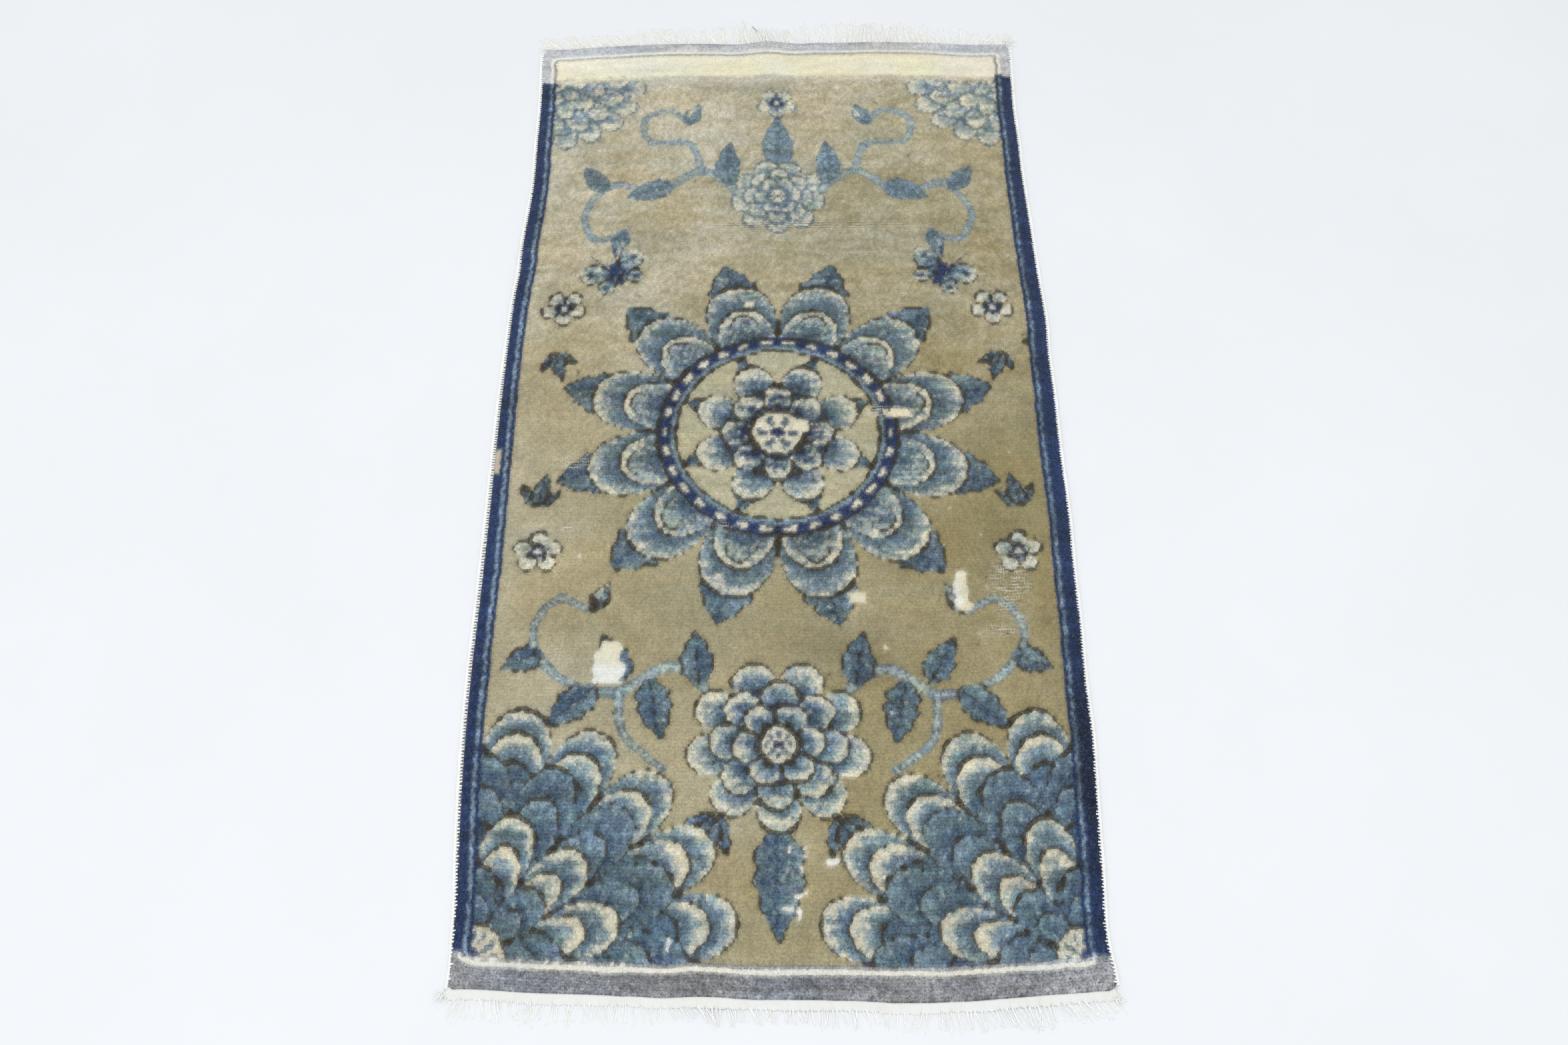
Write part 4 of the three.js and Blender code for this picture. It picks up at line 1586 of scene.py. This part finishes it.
def finish_material(material, colour, height=None, strength=0.5, distance=0.0004):
    """Joins a colour and the height of a fine relief to the shader."""
    tree = material.node_tree
    inputs = tree.nodes["Principled BSDF"].inputs
    tree.links.new(colour.socket, inputs["Base Color"])
    if height:
        bump = {"Height": height, "Strength": strength, "Distance": distance}
        tree.links.new(add_node(tree, "Bump", bump).socket, inputs["Normal"])
    return material


def pile_material():
    """Clipped wool pile: knot colours, fibre speckle, pale fibre tips, worn foundation, and painted shade in
    the row gaps.
    """
    material, tree = new_material("Wool pile", 0.95, 0.12)
    places = own_places(tree)
    lengthwise = places.stretched(1.0, 0.8, 1.0)
    knots, blended = read_layer(tree, "Knots"), read_layer(tree, "Blended")
    stray = add_noise(lengthwise, 900, 3.0, 0.75).remap(0.4, 0.6, 0.25, 1.0)
    yarn = mix(stray, knots, blended)
    fibre = add_noise(lengthwise, 950, 3.0, 0.7)
    clump = add_noise(lengthwise, 420)
    uneven = fibre.remap(0.3, 0.7, -0.8, 0.8) + clump.remap(0.3, 0.7, -0.5, 0.5)

    # Each knot shows as two tufts, and a painted shade darkens the groove where the rows part a little
    woven, column, row = woven_places(tree)
    halves = {"Vector": woven.stretched(2.0, 2.2, 1.0), "Scale": 1.0, "Randomness": 0.8}
    tufts = add_node(tree, "TexVoronoi", halves)
    shade = add_node(tree, "SeparateXYZ", {"Vector": tufts.other("Color")})
    uneven = uneven + shade.remap(0.0, 1.0, -0.55, 0.55) - row.lines(0.3) * 0.3
    mottled = blended.other("Alpha").remap(0.2, 1.0, 0.12, 0.5)
    wool = scaled(yarn, uneven * mottled + 1.03)
    tips = add_noise(places, 560, 2.0, 0.7).remap(0.58, 0.76, 0.0, 0.8) * mottled
    wool = mix(tips, wool, linear_colour("pale_blue", 0.9))

    # Where the pile is worn the warps and wefts show in dashes; where it has parted, a painted shadow darkens
    # the gap between rows
    worn = read_layer(tree, "Worn").other("Fac")
    grid = (column.lines(0.22) * 0.8).math("MAXIMUM", row.lines(0.22))
    dashes = add_noise(woven.stretched(0.28, 1.3, 1.0), 1.0).remap(0.42, 0.62, 0.0, 1.4)
    colour = mix(grid * worn * dashes, wool, linear_colour("white", 0.85))
    colour = mix(row.lines(0.14) * (worn * -1.0), colour, linear_colour("brown", 0.7))
    return finish_material(material, colour, tufts * -0.5 + fibre, 0.55, 0.0008)


def back_material():
    """The rug's back: rows of knot nubs between the wefts, with painted shade in the hollows between them."""
    material, tree = new_material("Knotted back", 0.95, 0.05)
    _, column, row = woven_places(tree)
    nubs = (column * math.pi).math("SINE") * 0.5
    ribs = (row * math.pi).math("SINE").math("ABSOLUTE")
    ridge = ribs * (nubs.math("ABSOLUTE") + 0.5)
    speckle = add_noise(own_places(tree), 1200).remap(0.3, 0.7, 0.8, 1.15)
    # Painted shade: the colour darkens where the relief is low between nubs and rows
    colour = scaled(read_layer(tree, "Knots"), speckle * ridge.remap(0.0, 1.0, 0.7, 1.05))
    colour = mix(ribs.remap(0.0, 0.25, 0.45, 0.0), colour, linear_colour("ivory", 0.9))
    return finish_material(material, colour, ridge, 0.6, 0.0006)


def cotton_material(name, tint, fibre_scale, sheen=0.1):
    """Undyed cotton with fine fibres and faint yellowing."""
    material, tree = new_material(name, 0.9, sheen)
    places = own_places(tree)
    fibre = add_noise(places, fibre_scale, 3.0, 0.65)
    fresh, yellowed = [(*np.multiply(colour, tint), 1.0) for colour in COTTONS]
    cotton = mix(add_noise(places, 60).remap(0.4, 0.7, 0.0, 1.0), fresh, yellowed)
    return finish_material(material, scaled(cotton, fibre.remap(0.3, 0.7, 0.93, 1.04)), fibre)


def yarn_material():
    """Gray-blue wool yarn."""
    material, tree = new_material("Wool yarn", 0.95, 0.1)
    fibre = add_noise(own_places(tree), 1500, 3.0, 0.65)
    colour = scaled(linear_colour("light_blue", 1.35)[:3], fibre.remap(0.3, 0.7, 0.8, 1.2))
    return finish_material(material, colour, fibre)


def floor_material():
    material, tree = new_material("Pale floor", 0.7, 0.0)
    cloud = add_noise(own_places(tree), 2.5, 4.0).remap(0.3, 0.7, 0.985, 1.015)
    return finish_material(material, scaled(FLOOR_COLOUR, cloud))


# Floor, light and camera

FLOOR_HALF = 40.0
FLOOR_COLOUR = (0.735, 0.757, 0.785)
SKY_STRENGTH = 0.975

# The soft box, in metres and watts
LIGHT_PLACE = (-0.3, -0.9, 2.5)
LIGHT_TARGET = (0, -0.2, 0)
LIGHT_SIZE = (3.4, 2.4)
LIGHT_POWER = 24

# Camera as the photograph was taken, from the middle of the knotted body
CAMERA_PLACE = (10.9, -948.7, 1417.6)
CAMERA_PITCH = 59.426
CAMERA_YAW = -0.405
CAMERA_ROLL = -0.78
CAMERA_LENS = 35.01
SENSOR_WIDTH = 36.0


def make_floor():
    mesh = bpy.data.meshes.new("floor")
    corners = [(a * FLOOR_HALF, b * FLOOR_HALF, 0) for a, b in ((-1, -1), (1, -1), (1, 1), (-1, 1))]
    mesh.from_pydata(corners, [], [(0, 1, 2, 3)])
    mesh.materials.append(floor_material())
    floor = put_in_scene("floor", mesh)


def make_light():
    world = bpy.data.worlds.new("Studio")
    world.use_nodes = True
    sky = world.node_tree.nodes["Background"]
    sky.inputs["Color"].default_value = (1.0, 1.0, 1.0, 1.0)
    sky.inputs["Strength"].default_value = SKY_STRENGTH
    bpy.context.scene.world = world
    light = bpy.data.lights.new("soft_box", "AREA")
    light.shape = "RECTANGLE"
    light.size, light.size_y = LIGHT_SIZE
    light.energy = LIGHT_POWER
    soft_box = put_in_scene("soft_box", light)
    soft_box.location = LIGHT_PLACE
    aim = Vector(LIGHT_TARGET) - soft_box.location
    soft_box.rotation_euler = aim.to_track_quat("-Z", "Y").to_euler()


def make_camera():
    aim = Euler(((90 - CAMERA_PITCH) * DEG, 0, -CAMERA_YAW * DEG)).to_matrix().to_4x4()
    roll = Matrix.Rotation(CAMERA_ROLL * DEG, 4, "Z")
    lens = bpy.data.cameras.new("camera")
    lens.lens = CAMERA_LENS
    lens.sensor_width = SENSOR_WIDTH
    camera = put_in_scene("camera", lens)
    camera.matrix_world = Matrix.Translation((SHIFT + CAMERA_PLACE) * MM) @ aim @ roll
    bpy.context.scene.camera = camera


def find_shift():
    """How far the frame lies from the nominal rectangle's middle, in mm."""
    low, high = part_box("rug_body")
    x, y = plan_of(*np.meshgrid(np.linspace(-HALF_WIDTH, HALF_WIDTH, 400), [-HALF_LENGTH, HALF_LENGTH]))
    middle_y = (y[0].min() + y[1].max()) / 2
    x, y = plan_of(*np.meshgrid([-HALF_WIDTH, HALF_WIDTH], np.linspace(-HALF_LENGTH, HALF_LENGTH, 800)))
    middle_x = (x[:, 0].min() + x[:, 1].max()) / 2
    return np.array([(low.x + high.x) / 2 / MM - middle_x, (low.y + high.y) / 2 / MM - middle_y, 0.0])


SHIFT = find_shift()

chart = Chart()
draw_field(chart)
draw_sides(chart)
draw_far_end(chart)
draw_near_end(chart)
reweave(chart)
scatter_strays(chart)

rug = make_rug(chart)
cords = [make_cord(-1), make_cord(1)]
webs = [make_web(-1), make_web(1)]
fringes = [make_fringe(-1), make_fringe(1)]
stray_end = make_stray_end()

for piece in (rug, *cords, *webs, *fringes, stray_end):
    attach(piece, "root")
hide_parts("rug_body")
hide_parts("side_cord_left")
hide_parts("side_cord_right")
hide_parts("end_fringe_near")
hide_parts("end_fringe_near")
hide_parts("end_fringe_far")
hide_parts("end_fringe_far")

make_floor()
make_light()
make_camera()
bpy.context.scene.view_settings.view_transform = "Standard"
